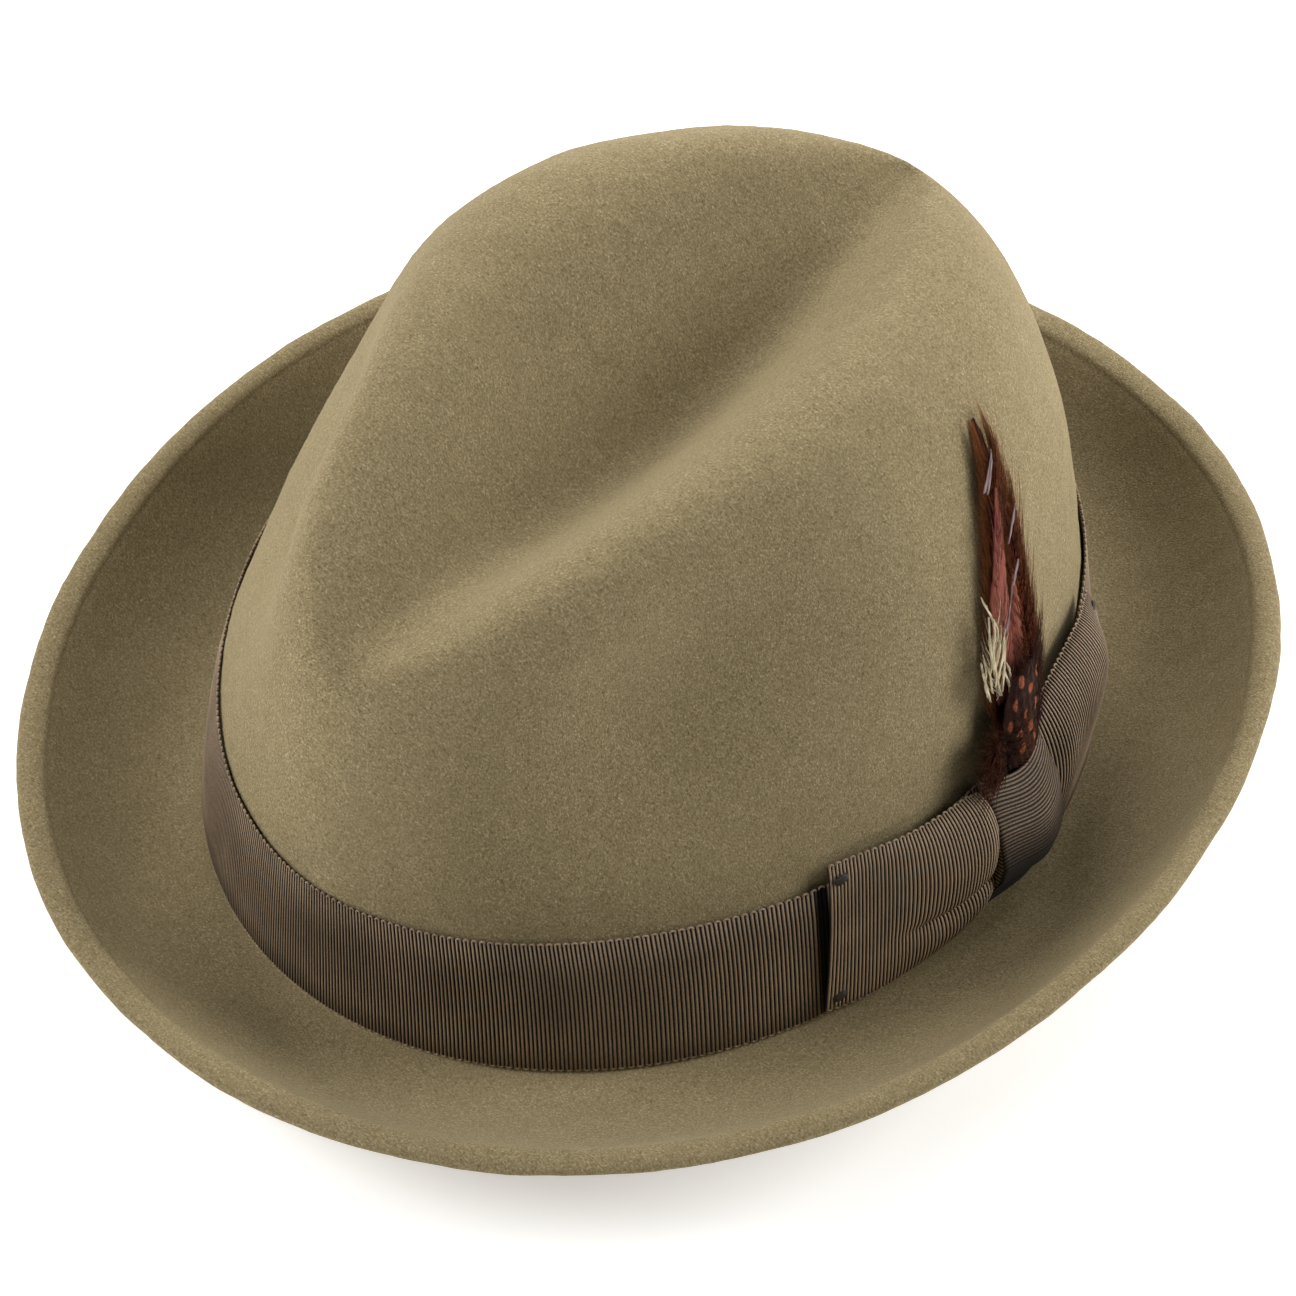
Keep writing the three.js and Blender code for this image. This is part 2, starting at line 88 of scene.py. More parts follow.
def crown(phi, s):
    """Outer face of the crown: phi from the front to the wearer's left, s 0 foot, 1 top of wall, 2 middle."""
    phi, s = np.broadcast_arrays(np.asarray(phi, float), np.asarray(s, float))
    shoulder = math.asin(WALL_SHARE ** (WALL_SQUARENESS / 2))
    wall_zeta = WALL_SHARE * np.clip(s, 0, 1)
    wall_rho = np.cos(np.arcsin(wall_zeta ** (WALL_SQUARENESS / 2))) ** (2 / TOP_SQUARENESS)
    top_rho = np.clip(2 - s, 0, 1) * math.cos(shoulder) ** (2 / TOP_SQUARENESS)
    top_zeta = np.sin(np.arccos(top_rho ** (TOP_SQUARENESS / 2))) ** (2 / WALL_SQUARENESS)
    zeta = np.where(s <= 1, wall_zeta, top_zeta)
    rho = np.where(s <= 1, wall_rho, top_rho)
    power = 1 + CORNER_SOFTNESS * zeta
    x = HALF_WIDTH * rho * (1 - TAPER_X * zeta) * signed_power(np.sin(phi), power)
    y = -HALF_LENGTH * rho * (1 - TAPER_Y * zeta) * signed_power(np.cos(phi), power)
    z = zeta * (CROWN_HEIGHT + FRONT_DROP * y + SIDE_LIFT * x * x)
    for side in (1, -1):
        dy, dz = y - PINCH_Y, z - PINCH_Z
        along = dy * math.cos(PINCH_TILT) + dz * math.sin(PINCH_TILT)
        across = dz * math.cos(PINCH_TILT) - dy * math.sin(PINCH_TILT)
        push = PINCH_DEPTH * np.exp(-(along / PINCH_ALONG) ** 2 - (across / PINCH_ACROSS) ** 2)
        push = push * smooth((x * side + 2) / 24)
        x = x - side * push
        y = y + PINCH_LIFT * push
    from_middle = y - DENT_MIDDLE
    length, narrowing, rising = (np.where(from_middle < 0, a, b) for a, b in zip(DENT_FRONT, DENT_BACK))
    room = np.clip(1 - (from_middle / length) ** 2, 0, None)
    aside = np.minimum(np.abs(x) / np.maximum(DENT_HALF_WIDTH * room ** narrowing, 0.001), 6)
    depth = DENT_DEPTH * room ** rising * np.exp(-aside ** DENT_BLEND)
    z = z - depth * smooth((z / CROWN_HEIGHT - 0.55) / 0.35)
    return np.stack([x, y, z + FELT], -1) + SHIFT


def brim_lift(t):
    """Share of the brim's rise: it turns up, and its folded edge rolls outward."""
    roll = np.clip((t - ROLL_START) / (1 - ROLL_START), 0, None)
    foot = ROLL_FOOT * (np.minimum(t, ROLL_START) / ROLL_START) ** BRIM_CURVE
    return foot + ROLL_SLOPE * roll - ROLL_TURN * roll ** 2


def brim(phi, t):
    """Upper face of the brim: t 0 at the crown's foot, 1 at the edge."""
    phi, t = np.broadcast_arrays(np.asarray(phi, float), np.asarray(t, float))
    width, rise = harmonics(BRIM_WIDTH, phi), harmonics(BRIM_RISE, phi)
    run = width * (t - 0.1 * np.minimum(rise / 25, 2) * t ** 4)
    out_x, out_y = np.sin(phi) / HALF_WIDTH, -np.cos(phi) / HALF_LENGTH
    size = np.hypot(out_x, out_y)
    x = HALF_WIDTH * np.sin(phi) + out_x / size * run
    y = -HALF_LENGTH * np.cos(phi) + out_y / size * run
    z = FELT + rise * brim_lift(t) - BRIM_DROP * width * t
    return np.stack([x, y, z], -1) + SHIFT


def unit(v):
    return v / np.maximum(np.linalg.norm(v, axis=-1, keepdims=True), 1e-12)


def normal_of(surface, phi, t):
    step = 1e-3
    across = surface(phi + step, t) - surface(phi - step, t)
    up = surface(phi, t + step) - surface(phi, np.maximum(t - step, 0))
    n = unit(np.cross(across, up))
    return -n if surface is brim else n


def off(surface, phi, t, distance):
    """A point moved off a surface along its outward normal."""
    phi, t = np.broadcast_arrays(np.asarray(phi, float), np.asarray(t, float))
    return surface(phi, t) + normal_of(surface, phi, t) * np.asarray(distance)[..., None]


def wall_s(z):
    return (z - FELT) / (CROWN_HEIGHT * WALL_SHARE)


def wall(phi, z, distance):
    return off(crown, phi, wall_s(z), distance)


def waves(points, size, seed, count=28):
    """Smooth noise of about unit height, with features of about `size` mm."""
    rng = np.random.default_rng(seed)
    k = rng.normal(size=(count, 3))
    k *= (TAU / size / np.linalg.norm(k, axis=1) * rng.uniform(0.6, 1.5, count))[:, None]
    return np.sin(points @ k.T + rng.uniform(0, TAU, count)).sum(-1) * math.sqrt(2 / count)


# ---- Mesh tools ------------------------------------------------------------------------------
def make(name, points, faces, body, material, replaces=(), attributes=None, flat=False):
    """A mesh object from points in mm and rows of equal faces. Attributes are one number or vector a point."""
    mesh = bpy.data.meshes.new(name)
    points = np.asarray(points, float).reshape(-1, 3) * MM
    faces = [np.asarray(f, np.int64) for f in (faces if isinstance(faces, list) else [faces])]
    loops = np.concatenate([f.ravel() for f in faces])
    totals = np.concatenate([np.full(len(f), f.shape[1]) for f in faces])
    mesh.vertices.add(len(points))
    mesh.vertices.foreach_set("co", points.ravel())
    mesh.loops.add(len(loops))
    mesh.loops.foreach_set("vertex_index", loops)
    mesh.polygons.add(len(totals))
    mesh.polygons.foreach_set("loop_start", np.concatenate([[0], np.cumsum(totals)[:-1]]))
    mesh.polygons.foreach_set("use_smooth", np.full(len(totals), not flat))
    mesh.update(calc_edges=True)
    mesh.validate()
    for key, values in (attributes or {}).items():
        values = np.asarray(values, float)
        kind = "FLOAT" if values.ndim == 1 else "FLOAT_VECTOR"
        field = "value" if values.ndim == 1 else "vector"
        mesh.attributes.new(key, kind, "POINT").data.foreach_set(field, values.ravel())
    obj = bpy.data.objects.new(name, mesh)
    bpy.context.scene.collection.objects.link(obj)
    mesh.materials.append(material)
    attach(obj, body)
    if replaces:
        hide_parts(*replaces)
    return obj


def grid_faces(rows, columns, wrap_rows=False, wrap_columns=False, start=0):
    i = np.arange(rows if wrap_rows else rows - 1)[:, None]
    j = np.arange(columns if wrap_columns else columns - 1)[None, :]
    i2, j2 = (i + 1) % rows, (j + 1) % columns
    at = lambda a, b: (start + a * columns + b).ravel()
    i, j, i2, j2 = np.broadcast_arrays(i, j, i2, j2)
    return np.stack([at(i, j), at(i, j2), at(i2, j2), at(i2, j)], -1)


class Parts:
    """Collects points, faces and attributes of the islands of one mesh."""

    def __init__(self):
        self.points, self.quads, self.tris, self.values, self.count = [], [], [], {}, 0

    def add(self, points, quads=None, tris=None, **values):
        points = np.asarray(points, float).reshape(-1, 3)
        if quads is not None and len(quads):
            self.quads.append(np.asarray(quads) + self.count)
        if tris is not None and len(tris):
            self.tris.append(np.asarray(tris) + self.count)
        self.points.append(points)
        for key, v in values.items():
            v = np.asarray(v, float)
            shape = (len(points),) if v.ndim in (0, 1) and v.size in (1, len(points)) else (len(points), 3)
            self.values.setdefault(key, []).append(np.broadcast_to(v, shape))
        self.count += len(points)

    def build(self, name, body, material, replaces=(), flat=False):
        faces = []
        if self.quads:
            faces.append(np.concatenate(self.quads))
        if self.tris:
            faces.append(np.concatenate(self.tris))
        values = {k: np.concatenate(v) for k, v in self.values.items()}
        return make(name, np.concatenate(self.points), faces, body, material, replaces, values, flat)


def tubes(paths, radii, sides, ups=None):
    """Closed round tubes. paths: (n, steps, 3). radii: (n, steps). Gives points, quads and end triangles."""
    paths = np.asarray(paths, float)
    n, steps, _ = paths.shape
    radii = np.broadcast_to(np.asarray(radii, float), (n, steps))
    along = unit(np.gradient(paths, axis=1))
    up = np.broadcast_to(np.array([0.31, 0.22, 0.92]) if ups is None else np.asarray(ups), paths.shape)
    side = unit(np.cross(along, up))
    up = np.cross(side, along)
    turn = np.arange(sides) * TAU / sides
    offset = side[:, :, None] * np.cos(turn)[None, None, :, None] + up[:, :, None] * np.sin(turn)[None, None, :, None]
    rings = paths[:, :, None] + offset * radii[:, :, None, None]
    points = np.concatenate([rings.reshape(n, -1, 3), paths[:, :1], paths[:, -1:]], 1)
    one = grid_faces(steps, sides, wrap_columns=True)
    k = np.arange(sides)
    first, last = steps * sides, steps * sides + 1
    caps = np.concatenate([
        np.stack([np.full(sides, first), (k + 1) % sides, k], -1),
        np.stack([np.full(sides, last), (steps - 1) * sides + k, (steps - 1) * sides + (k + 1) % sides], -1)])
    shift = (np.arange(n) * (steps * sides + 2))[:, None, None]
    return points.reshape(-1, 3), (one[None] + shift).reshape(-1, 4), (caps[None] + shift).reshape(-1, 3)


# ---- Materials -------------------------------------------------------------------------------
class Nodes:
    """Short hand for a material's node tree."""

    def __init__(self, name, **constants):
        self.material = bpy.data.materials.new(name)
        self.material.use_nodes = True
        self.tree = self.material.node_tree
        self.shader = self.tree.nodes["Principled BSDF"]
        for key, value in constants.items():
            self.shader.inputs[key.replace("_", " ")].default_value = value

    def node(self, kind, **settings):
        node = self.tree.nodes.new("ShaderNode" + kind)
        inputs = settings.pop("inputs", {})
        for key, value in settings.items():
            setattr(node, key, value)
        for key, value in inputs.items():
            self.put(node.inputs[key], value)
        return node

    def put(self, socket, value):
        if isinstance(value, bpy.types.NodeSocket):
            self.tree.links.new(value, socket)
        elif isinstance(value, bpy.types.Node):
            self.tree.links.new(value.outputs[0], socket)
        else:
            socket.default_value = value

    def attribute(self, name, vector=False):
        node = self.node("Attribute", attribute_name=name)
        return node.outputs["Vector" if vector else "Fac"]

    def place(self):
        return self.node("TexCoord").outputs["Object"]

    def stretch(self, vector, scale):
        return self.node("Mapping", inputs={"Vector": vector, "Scale": scale}).outputs[0]

    def noise(self, vector, scale, detail=2.0, roughness=0.5):
        node = self.node("TexNoise", inputs={"Vector": vector, "Scale": scale, "Detail": detail, "Roughness": roughness})
        return node.outputs["Fac"]

    def ramp(self, value, stops):
        node = self.node("ValToRGB", inputs={"Fac": value})
        ramp = node.color_ramp
        while len(ramp.elements) < len(stops):
            ramp.elements.new(0.5)
        for element, (at, color) in zip(ramp.elements, stops):
            element.position = at
            element.color = color if len(color) == 4 else (*color, 1)
        return node.outputs["Color"]

    def mix(self, fac, a, b, blend="MIX"):
        node = self.tree.nodes.new("ShaderNodeMix")
        node.data_type, node.blend_type = "RGBA", blend
        for socket, value in ((node.inputs[0], fac), (node.inputs[6], a), (node.inputs[7], b)):
            if isinstance(value, tuple) and len(value) == 3:
                value = (*value, 1)
            self.put(socket, value)
        return node.outputs[2]

    def math(self, operation, a, b=0.0, clamp=False):
        node = self.tree.nodes.new("ShaderNodeMath")
        node.operation, node.use_clamp = operation, clamp
        self.put(node.inputs[0], a)
        self.put(node.inputs[1], b)
        return node.outputs[0]

    def scaled(self, value, low, high, to_low=0.0, to_high=1.0):
        node = self.node("MapRange", inputs={"Value": value, "From Min": low, "From Max": high,
                                             "To Min": to_low, "To Max": to_high})
        return node.outputs[0]

    def bump(self, height, distance, strength=1.0, after=None):
        node = self.node("Bump", inputs={"Height": height, "Distance": distance, "Strength": strength})
        if after is not None:
            self.put(node.inputs["Normal"], after)
        return node.outputs[0]

    def finish(self, color, normal=None, roughness=None):
        self.put(self.shader.inputs["Base Color"], color)
        if normal is not None:
            self.put(self.shader.inputs["Normal"], normal)
        if roughness is not None:
            self.put(self.shader.inputs["Roughness"], roughness)
        return self.material


def felt_material():
    n = Nodes("felt", Roughness=0.95, Specular_IOR_Level=0.05, Sheen_Weight=0.18, Sheen_Roughness=0.4)
    n.shader.inputs["Sheen Tint"].default_value = (0.95, 0.84, 0.58, 1)
    place = n.place()
    grain = n.noise(place, 2300, 3, 0.7)
    fibres = n.noise(n.stretch(place, (1500, 5200, 1700)), 1, 2, 0.6)
    clouds = n.noise(place, 210, 3, 0.55)
    wide = n.noise(place, 26, 2, 0.5)
    mottle = n.noise(place, 1000, 2, 0.6)
    speck = n.math("ADD", n.math("MULTIPLY", grain, 0.5), n.math("MULTIPLY", fibres, 0.38))
    speck = n.math("ADD", speck, n.math("MULTIPLY", mottle, 0.12))
    color = n.ramp(speck, [(0.34, (0.085, 0.063, 0.030)), (0.47, (0.215, 0.168, 0.088)),
                           (0.57, (0.315, 0.254, 0.142)), (0.69, (0.60, 0.505, 0.32))])
    color = n.mix(n.scaled(clouds, 0.3, 0.7, 0, 0.22), color, (0.150, 0.115, 0.056))
    color = n.mix(n.scaled(wide, 0.35, 0.7, 0, 0.16), color, (0.31, 0.25, 0.138))
    normal = n.bump(speck, 0.00038, 0.85, n.bump(clouds, 0.0003, 0.5))
    return n.finish(color, normal)


def ribbon_material(name, crest, mid, groove):
    n = Nodes(name, Roughness=0.74, Specular_IOR_Level=0.25, Sheen_Weight=0.03, Sheen_Roughness=0.4)
    weave = n.attribute("weave", True)
    # The rib value carries the rib pattern and, where scaled, painted light and shade.
    rib = n.attribute("rib")
    place = n.place()
    yarn = n.noise(n.stretch(weave, (1.3, 5.2, 0)), 1, 3, 0.6)
    fuzz = n.noise(place, 4200, 2, 0.6)
    height = n.math("ADD", rib, n.math("MULTIPLY", n.math("SUBTRACT", yarn, 0.5), 0.55))
    height = n.math("ADD", height, n.math("MULTIPLY", n.math("SUBTRACT", fuzz, 0.5), 0.35))
    color = n.ramp(height, [(0.36, groove), (0.64, mid), (1.04, crest)])
    clouds = n.noise(place, 95, 2, 0.5)
    color = n.mix(n.scaled(clouds, 0.35, 0.7, 0, 0.25), color, groove)
    normal = n.bump(height, 0.00022, 0.7)
    return n.finish(color, normal)


FELT_MATERIAL = felt_material()
RIBBON_MATERIAL = ribbon_material("ribbon", (0.36, 0.262, 0.172), (0.076, 0.050, 0.031), (0.004, 0.003, 0.0024))


# ---- Felt body -------------------------------------------------------------------------------
def felt_body():
    around = 400
    phi = (np.arange(around) * TAU / around)[None, :]
    crown_s = np.concatenate([np.linspace(0, 1, 49)[:-1], np.linspace(1, 1.3, 37)[:-1], np.linspace(1.3, 1.985, 58)])[:, None]
    fold = ROLL_START                           # where the folded edge starts
    rows = [off(crown, phi, crown_s[::-1], 0.0)]
    # The crown's foot meets the brim in a small hollow.
    brim_rows = []
    for t in np.linspace(0.035, 1, 22)[:-1]:
        brim_rows.append(off(brim, phi, t * (fold - 0.012), 0.0))
    # A fine crease, then the folded edge, thicker than the brim.
    for step, raise_ in ((-0.007, -0.02), (-0.001, -0.16), (0.006, 0.02), (0.013, 0.22), (0.024, 0.40), (0.040, WELT_RAISE)):
        brim_rows.append(off(brim, phi, fold + step, np.full_like(phi, raise_)))
    for u in np.linspace(0, 1, 10)[1:]:
        brim_rows.append(off(brim, phi, fold + 0.04 + (0.98 - fold - 0.04) * u, np.full_like(phi, WELT_RAISE)))
    radius = (FELT + WELT_RAISE) / 2
    up, down = off(brim, phi, 0.98, np.full_like(phi, WELT_RAISE)), off(brim, phi, 0.98, np.full_like(phi, -FELT))
    middle, out = (up + down) / 2, unit(brim(phi, 1.0) - brim(phi, 0.96))
    for turn in np.linspace(0, math.pi, 10)[1:]:
        brim_rows.append(middle + (up - middle) * math.cos(turn) + out * radius * math.sin(turn))
    for t in np.linspace(0.96, 0.06, 16):
        p = off(brim, phi, t, np.full_like(phi, -FELT))
        p[..., 2] = np.maximum(p[..., 2] * smooth((t - FLAT_SHARE) / 0.12), 0) if t > FLAT_SHARE else 0
        brim_rows.append(p)
    foot = off(crown, phi, 0.0, np.full_like(phi, -FELT))
    foot[..., 2] = 0
    inner_s = np.concatenate([np.linspace(0, 1, 16)[1:], np.linspace(1, 1.3, 13)[1:], np.linspace(1.3, 1.97, 17)[1:]])[:, None]
    outer = np.concatenate([rows[0]] + [r.reshape(1, around, 3) for r in brim_rows])
    # Hand-blocked felt is never quite even.
    n = outer.shape[0]
    inner = off(crown, phi, inner_s, np.full((len(inner_s), around), -FELT))
    everything = np.concatenate([outer, foot.reshape(1, around, 3), inner])
    flat = everything.reshape(-1, 3)
    uneven = 0.10 * waves(flat, 34, 3) + 0.05 * waves(flat, 11, 4) + 0.03 * waves(flat, 3.6, 5)
    keep = smooth((flat[:, 2] - 1.0) / 3)[:, None]
    drift = np.stack([waves(flat, 60, 6), waves(flat, 60, 7), waves(flat, 60, 8)], -1) * 0.12
    normals = np.zeros_like(flat)
    grid = everything
    across = np.roll(grid, -1, 1) - np.roll(grid, 1, 1)
    down_row = np.gradient(grid, axis=0)
    normals = unit(np.cross(down_row, across)).reshape(-1, 3)
    flat = flat + normals * uneven[:, None] * keep + drift * keep
    top = np.array([[0, 0, 0]]) + crown(0.0, 2.0)
    under = top - np.array([0, 0, FELT])
    points = np.concatenate([flat, top, under])
    total = everything.shape[0]
    quads = grid_faces(total, around, wrap_columns=True)[:, ::-1]
    k = np.arange(around)
    a, b = total * around, total * around + 1
    tris = np.concatenate([np.stack([np.full(around, a), k, (k + 1) % around], -1),
                           np.stack([np.full(around, b), (total - 1) * around + (k + 1) % around,
                                     (total - 1) * around + k], -1)])
    return make("felt_hat", points, [quads, tris], "hat", FELT_MATERIAL, ["felt_body"])


# ---- Ribbon ----------------------------------------------------------------------------------
RIB_SHAPE = ((-1.0, 0.0), (-0.8, 0.42), (-0.45, 0.84), (0.0, 1.0), (0.45, 0.84), (0.8, 0.42))


def ribbed_sheet(parts, path, ribs, rows, thickness=0.55, height=0.3, closed=False, edges=(True, True),
                 slack=0.03, seed=1, painted_shading=None):
    """A grosgrain strip: path(u, v) gives its middle face, u along the strip, v across it; ribs run across."""
    rng = np.random.default_rng(seed)
    columns = ribs * len(RIB_SHAPE) + (0 if closed else 1)
    centre = np.repeat(np.arange(ribs) + 0.5, len(RIB_SHAPE))
    x = np.tile([a for a, _ in RIB_SHAPE], ribs)
    rib = np.tile([b for _, b in RIB_SHAPE], ribs)
    if not closed:
        centre, x, rib = np.append(centre, ribs - 0.5), np.append(x, 1.0), np.append(rib, 0.0)
    wobble = rng.normal(0, slack, ribs + 2)
    where = centre + x / 2
    u = where / ribs
    u = u + np.interp(where, np.arange(ribs + 2) - 0.5, wobble) / ribs * (1 if not closed else np.sin(np.pi * u) ** 0.1)
    v = np.linspace(0, 1, rows)
    U, V = np.meshgrid(u, v)
    e = 0.25 / ribs
    du = path(U + e, V) - path(U - e, V)
    dv = path(U, np.minimum(V + 0.01, 1)) - path(U, np.maximum(V - 0.01, 0))
    normal = unit(np.cross(du, dv))
    middle = path(U, V)
    front = middle + normal * (thickness / 2 + (rib[None, :, None] - 1) * height)
    back = middle - normal * (thickness / 2)
    sheet = np.concatenate([front, back[::-1]])
    quads = grid_faces(2 * rows, columns, wrap_rows=True, wrap_columns=closed)
    ends = []
    if not closed:
        i = np.arange(rows - 1)
        for c, flip in ((0, False), (columns - 1, True)):
            f = np.stack([i * columns + c, (i + 1) * columns + c,
                          (2 * rows - 2 - i) * columns + c, (2 * rows - 1 - i) * columns + c], -1)
            ends.append(f[:, ::-1] if flip else f)
        quads = np.concatenate([quads] + ends)
    span = np.linalg.norm(np.diff(middle[rows // 2], axis=0), axis=1).sum()
    tall = np.linalg.norm(middle[-1, 0] - middle[0, 0])
    weave = np.stack([U * span, V * tall, 0 * U], -1)
    # Scaling the rib value paints light and shade into the ribbon's colour and bump: above 1 painted light, below 1
    # painted shade.
    shade = rib[None, :] * (1 if painted_shading is None else painted_shading(U))
    shade = np.broadcast_to(shade, U.shape)
    parts.add(sheet.reshape(-1, 3), quads,
              weave=np.concatenate([weave, weave[::-1]]).reshape(-1, 3),
              rib=np.concatenate([shade, shade[::-1]]).reshape(-1))
    # Turned yarn loops along the edges, each joining two ribs.
    for on, edge in zip(edges, (0.0, 1.0)):
        if not on:
            continue
        pairs = ribs // 2
        turn = np.linspace(0, math.pi, 7)
        middle_rib = np.arange(pairs)[:, None] * 2 + 1.0
        lu = (middle_rib - np.cos(turn)[None, :] * 0.62) / ribs
        lv = np.full_like(lu, edge)
        base = path(lu, lv)
        tu = path(lu + e, lv) - path(lu - e, lv)
        tv = path(lu, np.full_like(lu, min(edge + 0.01, 1))) - path(lu, np.full_like(lu, max(edge - 0.01, 0)))
        n = unit(np.cross(tu, tv))
        outward = unit(tv) * (1 if edge else -1)
        base = base + n * (thickness / 2 - 0.22) + outward * (np.sin(turn)[None, :, None] * 0.5 - 0.18)
        radius = 0.27 * (0.8 + 0.2 * rng.random((pairs, 1))) * np.ones_like(lu)
        p, q, t = tubes(base, radius, 5, n)
        parts.add(p, q, t, weave=p * 0.7, rib=np.full(len(p), 0.92))


def hat_band():
    parts = Parts()
    length = 590.0
    ribs = int(length / RIB / 2) * 2

    def dip_and_painted_shadow(phi):                              # a narrow 0.25 mm dip beside the bow, darkened there as a painted shadow
        return np.exp(-((np.mod(phi, TAU) / DEG - 68.9) / 0.72) ** 4)

    def path(u, v):
        phi = u * TAU + 1.7
        z = BAND_LOW + 0.35 + (BAND_HIGH - BAND_LOW - 0.7) * v
        z = z + 0.25 * np.sin(phi * 3 + 1) * v
        return wall(phi, z, 0.35 + GAP - 0.25 * dip_and_painted_shadow(phi))

    # Painted shadow: in the dip the band's colour falls almost to the groove colour.
    ribbed_sheet(parts, path, ribs, 6, closed=True, seed=11, painted_shading=lambda u: 1 - 0.9 * dip_and_painted_shadow(u * TAU + 1.7))
    return parts.build("hat_band_ribbon", "hat", RIBBON_MATERIAL, ["hat_band"])


# ---- Thin closed sheets ----------------------------------------------------------------------
def sheet(parts, front, back, closed=False, **values):
    """A closed sheet between two grids of points; closed joins its last column to its first."""
    rows, columns, _ = front.shape
    quads = grid_faces(2 * rows, columns, wrap_rows=True, wrap_columns=closed)
    if not closed:
        i = np.arange(rows - 1)
        for c, flip in ((0, False), (columns - 1, True)):
            f = np.stack([i * columns + c, (i + 1) * columns + c,
                          (2 * rows - 2 - i) * columns + c, (2 * rows - 1 - i) * columns + c], -1)
            quads = np.concatenate([quads, f[:, ::-1] if flip else f])
    doubled = {}
    for key, v in values.items():
        v = np.asarray(v, float)
        doubled[key] = np.concatenate([v, v[::-1]]).reshape(-1) if v.ndim == 2 else \
            np.concatenate([v, v[::-1]]).reshape(-1, 3)
    parts.add(np.concatenate([front, back[::-1]]).reshape(-1, 3), quads, **doubled)


# ---- Bow -------------------------------------------------------------------------------------
def bump_between(x, power=1.0):
    return np.clip(np.sin(np.pi * np.clip(x, 0, 1)), 0, 1) ** power


def front_wing_path(u, v):
    """A loop of ribbon sewn down at its free end, puffed at the knot, with a crease low on its side."""
    phi = 68.1 + 1.7 * v + (92.4 - 68.1 - 1.7 * v) * u + 1.1 * u ** 6 * bump_between(v, 0.7)
    top = 39.3 - 2.4 * smooth(u * 1.05) - 1.8 * smooth((u - 0.86) / 0.14)
    low = 5.0 - 1.2 * bump_between(u) + 2.8 * u ** 5
    z = low + (top - low) * v
    crease = 0.31 + 0.02 * np.sin(5 * u)
    puff = smooth((u - 0.05) / 0.85)
    upper = bump_between((v - crease) / (1 - crease) * 0.965 + 0.02, 0.5)
    lower = 0.5 * bump_between(v / crease * 0.9 + 0.05, 0.7)
    folded = np.where(v > crease, upper, lower)
    plain = bump_between(v * 0.97 + 0.015, 0.6) * 0.75
    share = smooth((u - 0.22) / 0.45)
    z = z - 1.7 * share * puff * np.exp(-((v - crease - 0.09) / 0.08) ** 2)      # the upper fold hangs over
    height = 5.5 * puff * (plain * (1 - share) + folded * share)
    tuck = np.sqrt(np.clip(1 - np.clip((u - 0.88) / 0.12, 0, 1) ** 2, 0, 1))
    distance = 2.35 - 0.35 * smooth((v - 0.9) / 0.1) + height * (0.25 + 0.75 * tuck) + 0.25 * np.sin(9 * u + 4 * v)
    return wall(phi * DEG, z, distance)


def rear_wing_path(u, v):
    phi = 100.2 + (124.8 - 100.2) * u
    top = 37.4 + 5.2 * bump_between(0.06 + 0.8 * u)
    low = 6.0 + 2.0 * u + 8.0 * smooth((u - 0.6) / 0.4)
    z = low + (top - low) * v
    full = (5.3 + 0.9 * bump_between(u * 0.9 + 0.1) - 3.6 * smooth((u - 0.72) / 0.28)) * (0.35 + 0.65 * smooth(u / 0.3))
    swell = bump_between(v ** (1.15 + 0.75 * u) * 0.93 + 0.05, 0.7)
    distance = 2.3 + full * swell + 0.25 * np.sin(7 * u + 2.5 * v)
    return wall(phi * DEG, z, distance)


def knot_path(u, v):
    """Runs up the front of the bow; its ribs lie along the band."""
    top = 37.8 - 3.6 * bump_between(v * 0.95 + 0.02, 1.2)
    z = 3.0 + (top - 3.0) * u + 0.8 * np.sin(TAU * v + 0.6) * (1 - u) * u * 3
    phi = 92.5 + (104.7 - 92.5) * v
    rise = np.interp(u, [0, 0.10, 0.23, 0.36, 0.62, 0.86, 1.0], [2.2, 3.4, 6.9, 8.4, 8.0, 6.0, 4.3])
    across = -1.3 * (1 - v) ** 5 + 0.5 * bump_between(v) + 0.45 * np.sin(TAU * v * 1.1 + 3.4) - 1.2 * v ** 8
    return wall(phi * DEG, z, rise + across)


def knot_side(parts, at_v, seed):
    """The knot's turned-under side, from its edge back to the band."""
    def path(u, w):
        edge = knot_path(u, np.full_like(u, at_v))
        inward = -normal_of(crown, np.full_like(u, (92.5 + 12.2 * at_v) * DEG), wall_s(np.clip(edge[..., 2], 3, 40)))
        reach = np.interp(u, [0, 0.10, 0.23, 0.36, 0.62, 0.86, 1.0], [0.3, 1.0, 3.9, 5.4, 5.0, 3.2, 1.6])
        lean = np.array([math.cos(98 * DEG), math.sin(98 * DEG), 0]) * (0.9 if at_v < 0.5 else -0.9)
        return edge + inward * (reach * w)[..., None] + lean * (smooth(w) * 1.4)[..., None]
    ribbed_sheet(parts, path, 34, 5, thickness=0.4, height=0.22, edges=(False, False), seed=seed)


def bow():
    wing = Parts()
    # The front wing's colour is lifted by 1.13 over the band's as painted light.
    ribbed_sheet(wing, front_wing_path, 49, 34, thickness=0.5, height=0.3, seed=21, painted_shading=lambda u: 1.13)
    wing.build("bow_front_ribbon", "hat", RIBBON_MATERIAL, ["bow_front_wing"])
    wing = Parts()
    ribbed_sheet(wing, rear_wing_path, 56, 30, thickness=0.5, height=0.3, seed=22)
    wing.build("bow_rear_ribbon", "hat", RIBBON_MATERIAL, ["bow_rear_wing"])
    knot = Parts()
    # The knot's colour darkens towards its lower end: painted shade where it turns under.
    ribbed_sheet(knot, knot_path, 38, 18, thickness=0.5, height=0.32, edges=(False, False), slack=0.06, seed=23,
                 painted_shading=lambda u: 0.42 + 0.43 * smooth((u - 0.2) / 0.45))
    knot_side(knot, 0.0, 24)
    knot_side(knot, 1.0, 25)
    knot.build("bow_knot_ribbon", "hat", RIBBON_MATERIAL, ["bow_knot"])


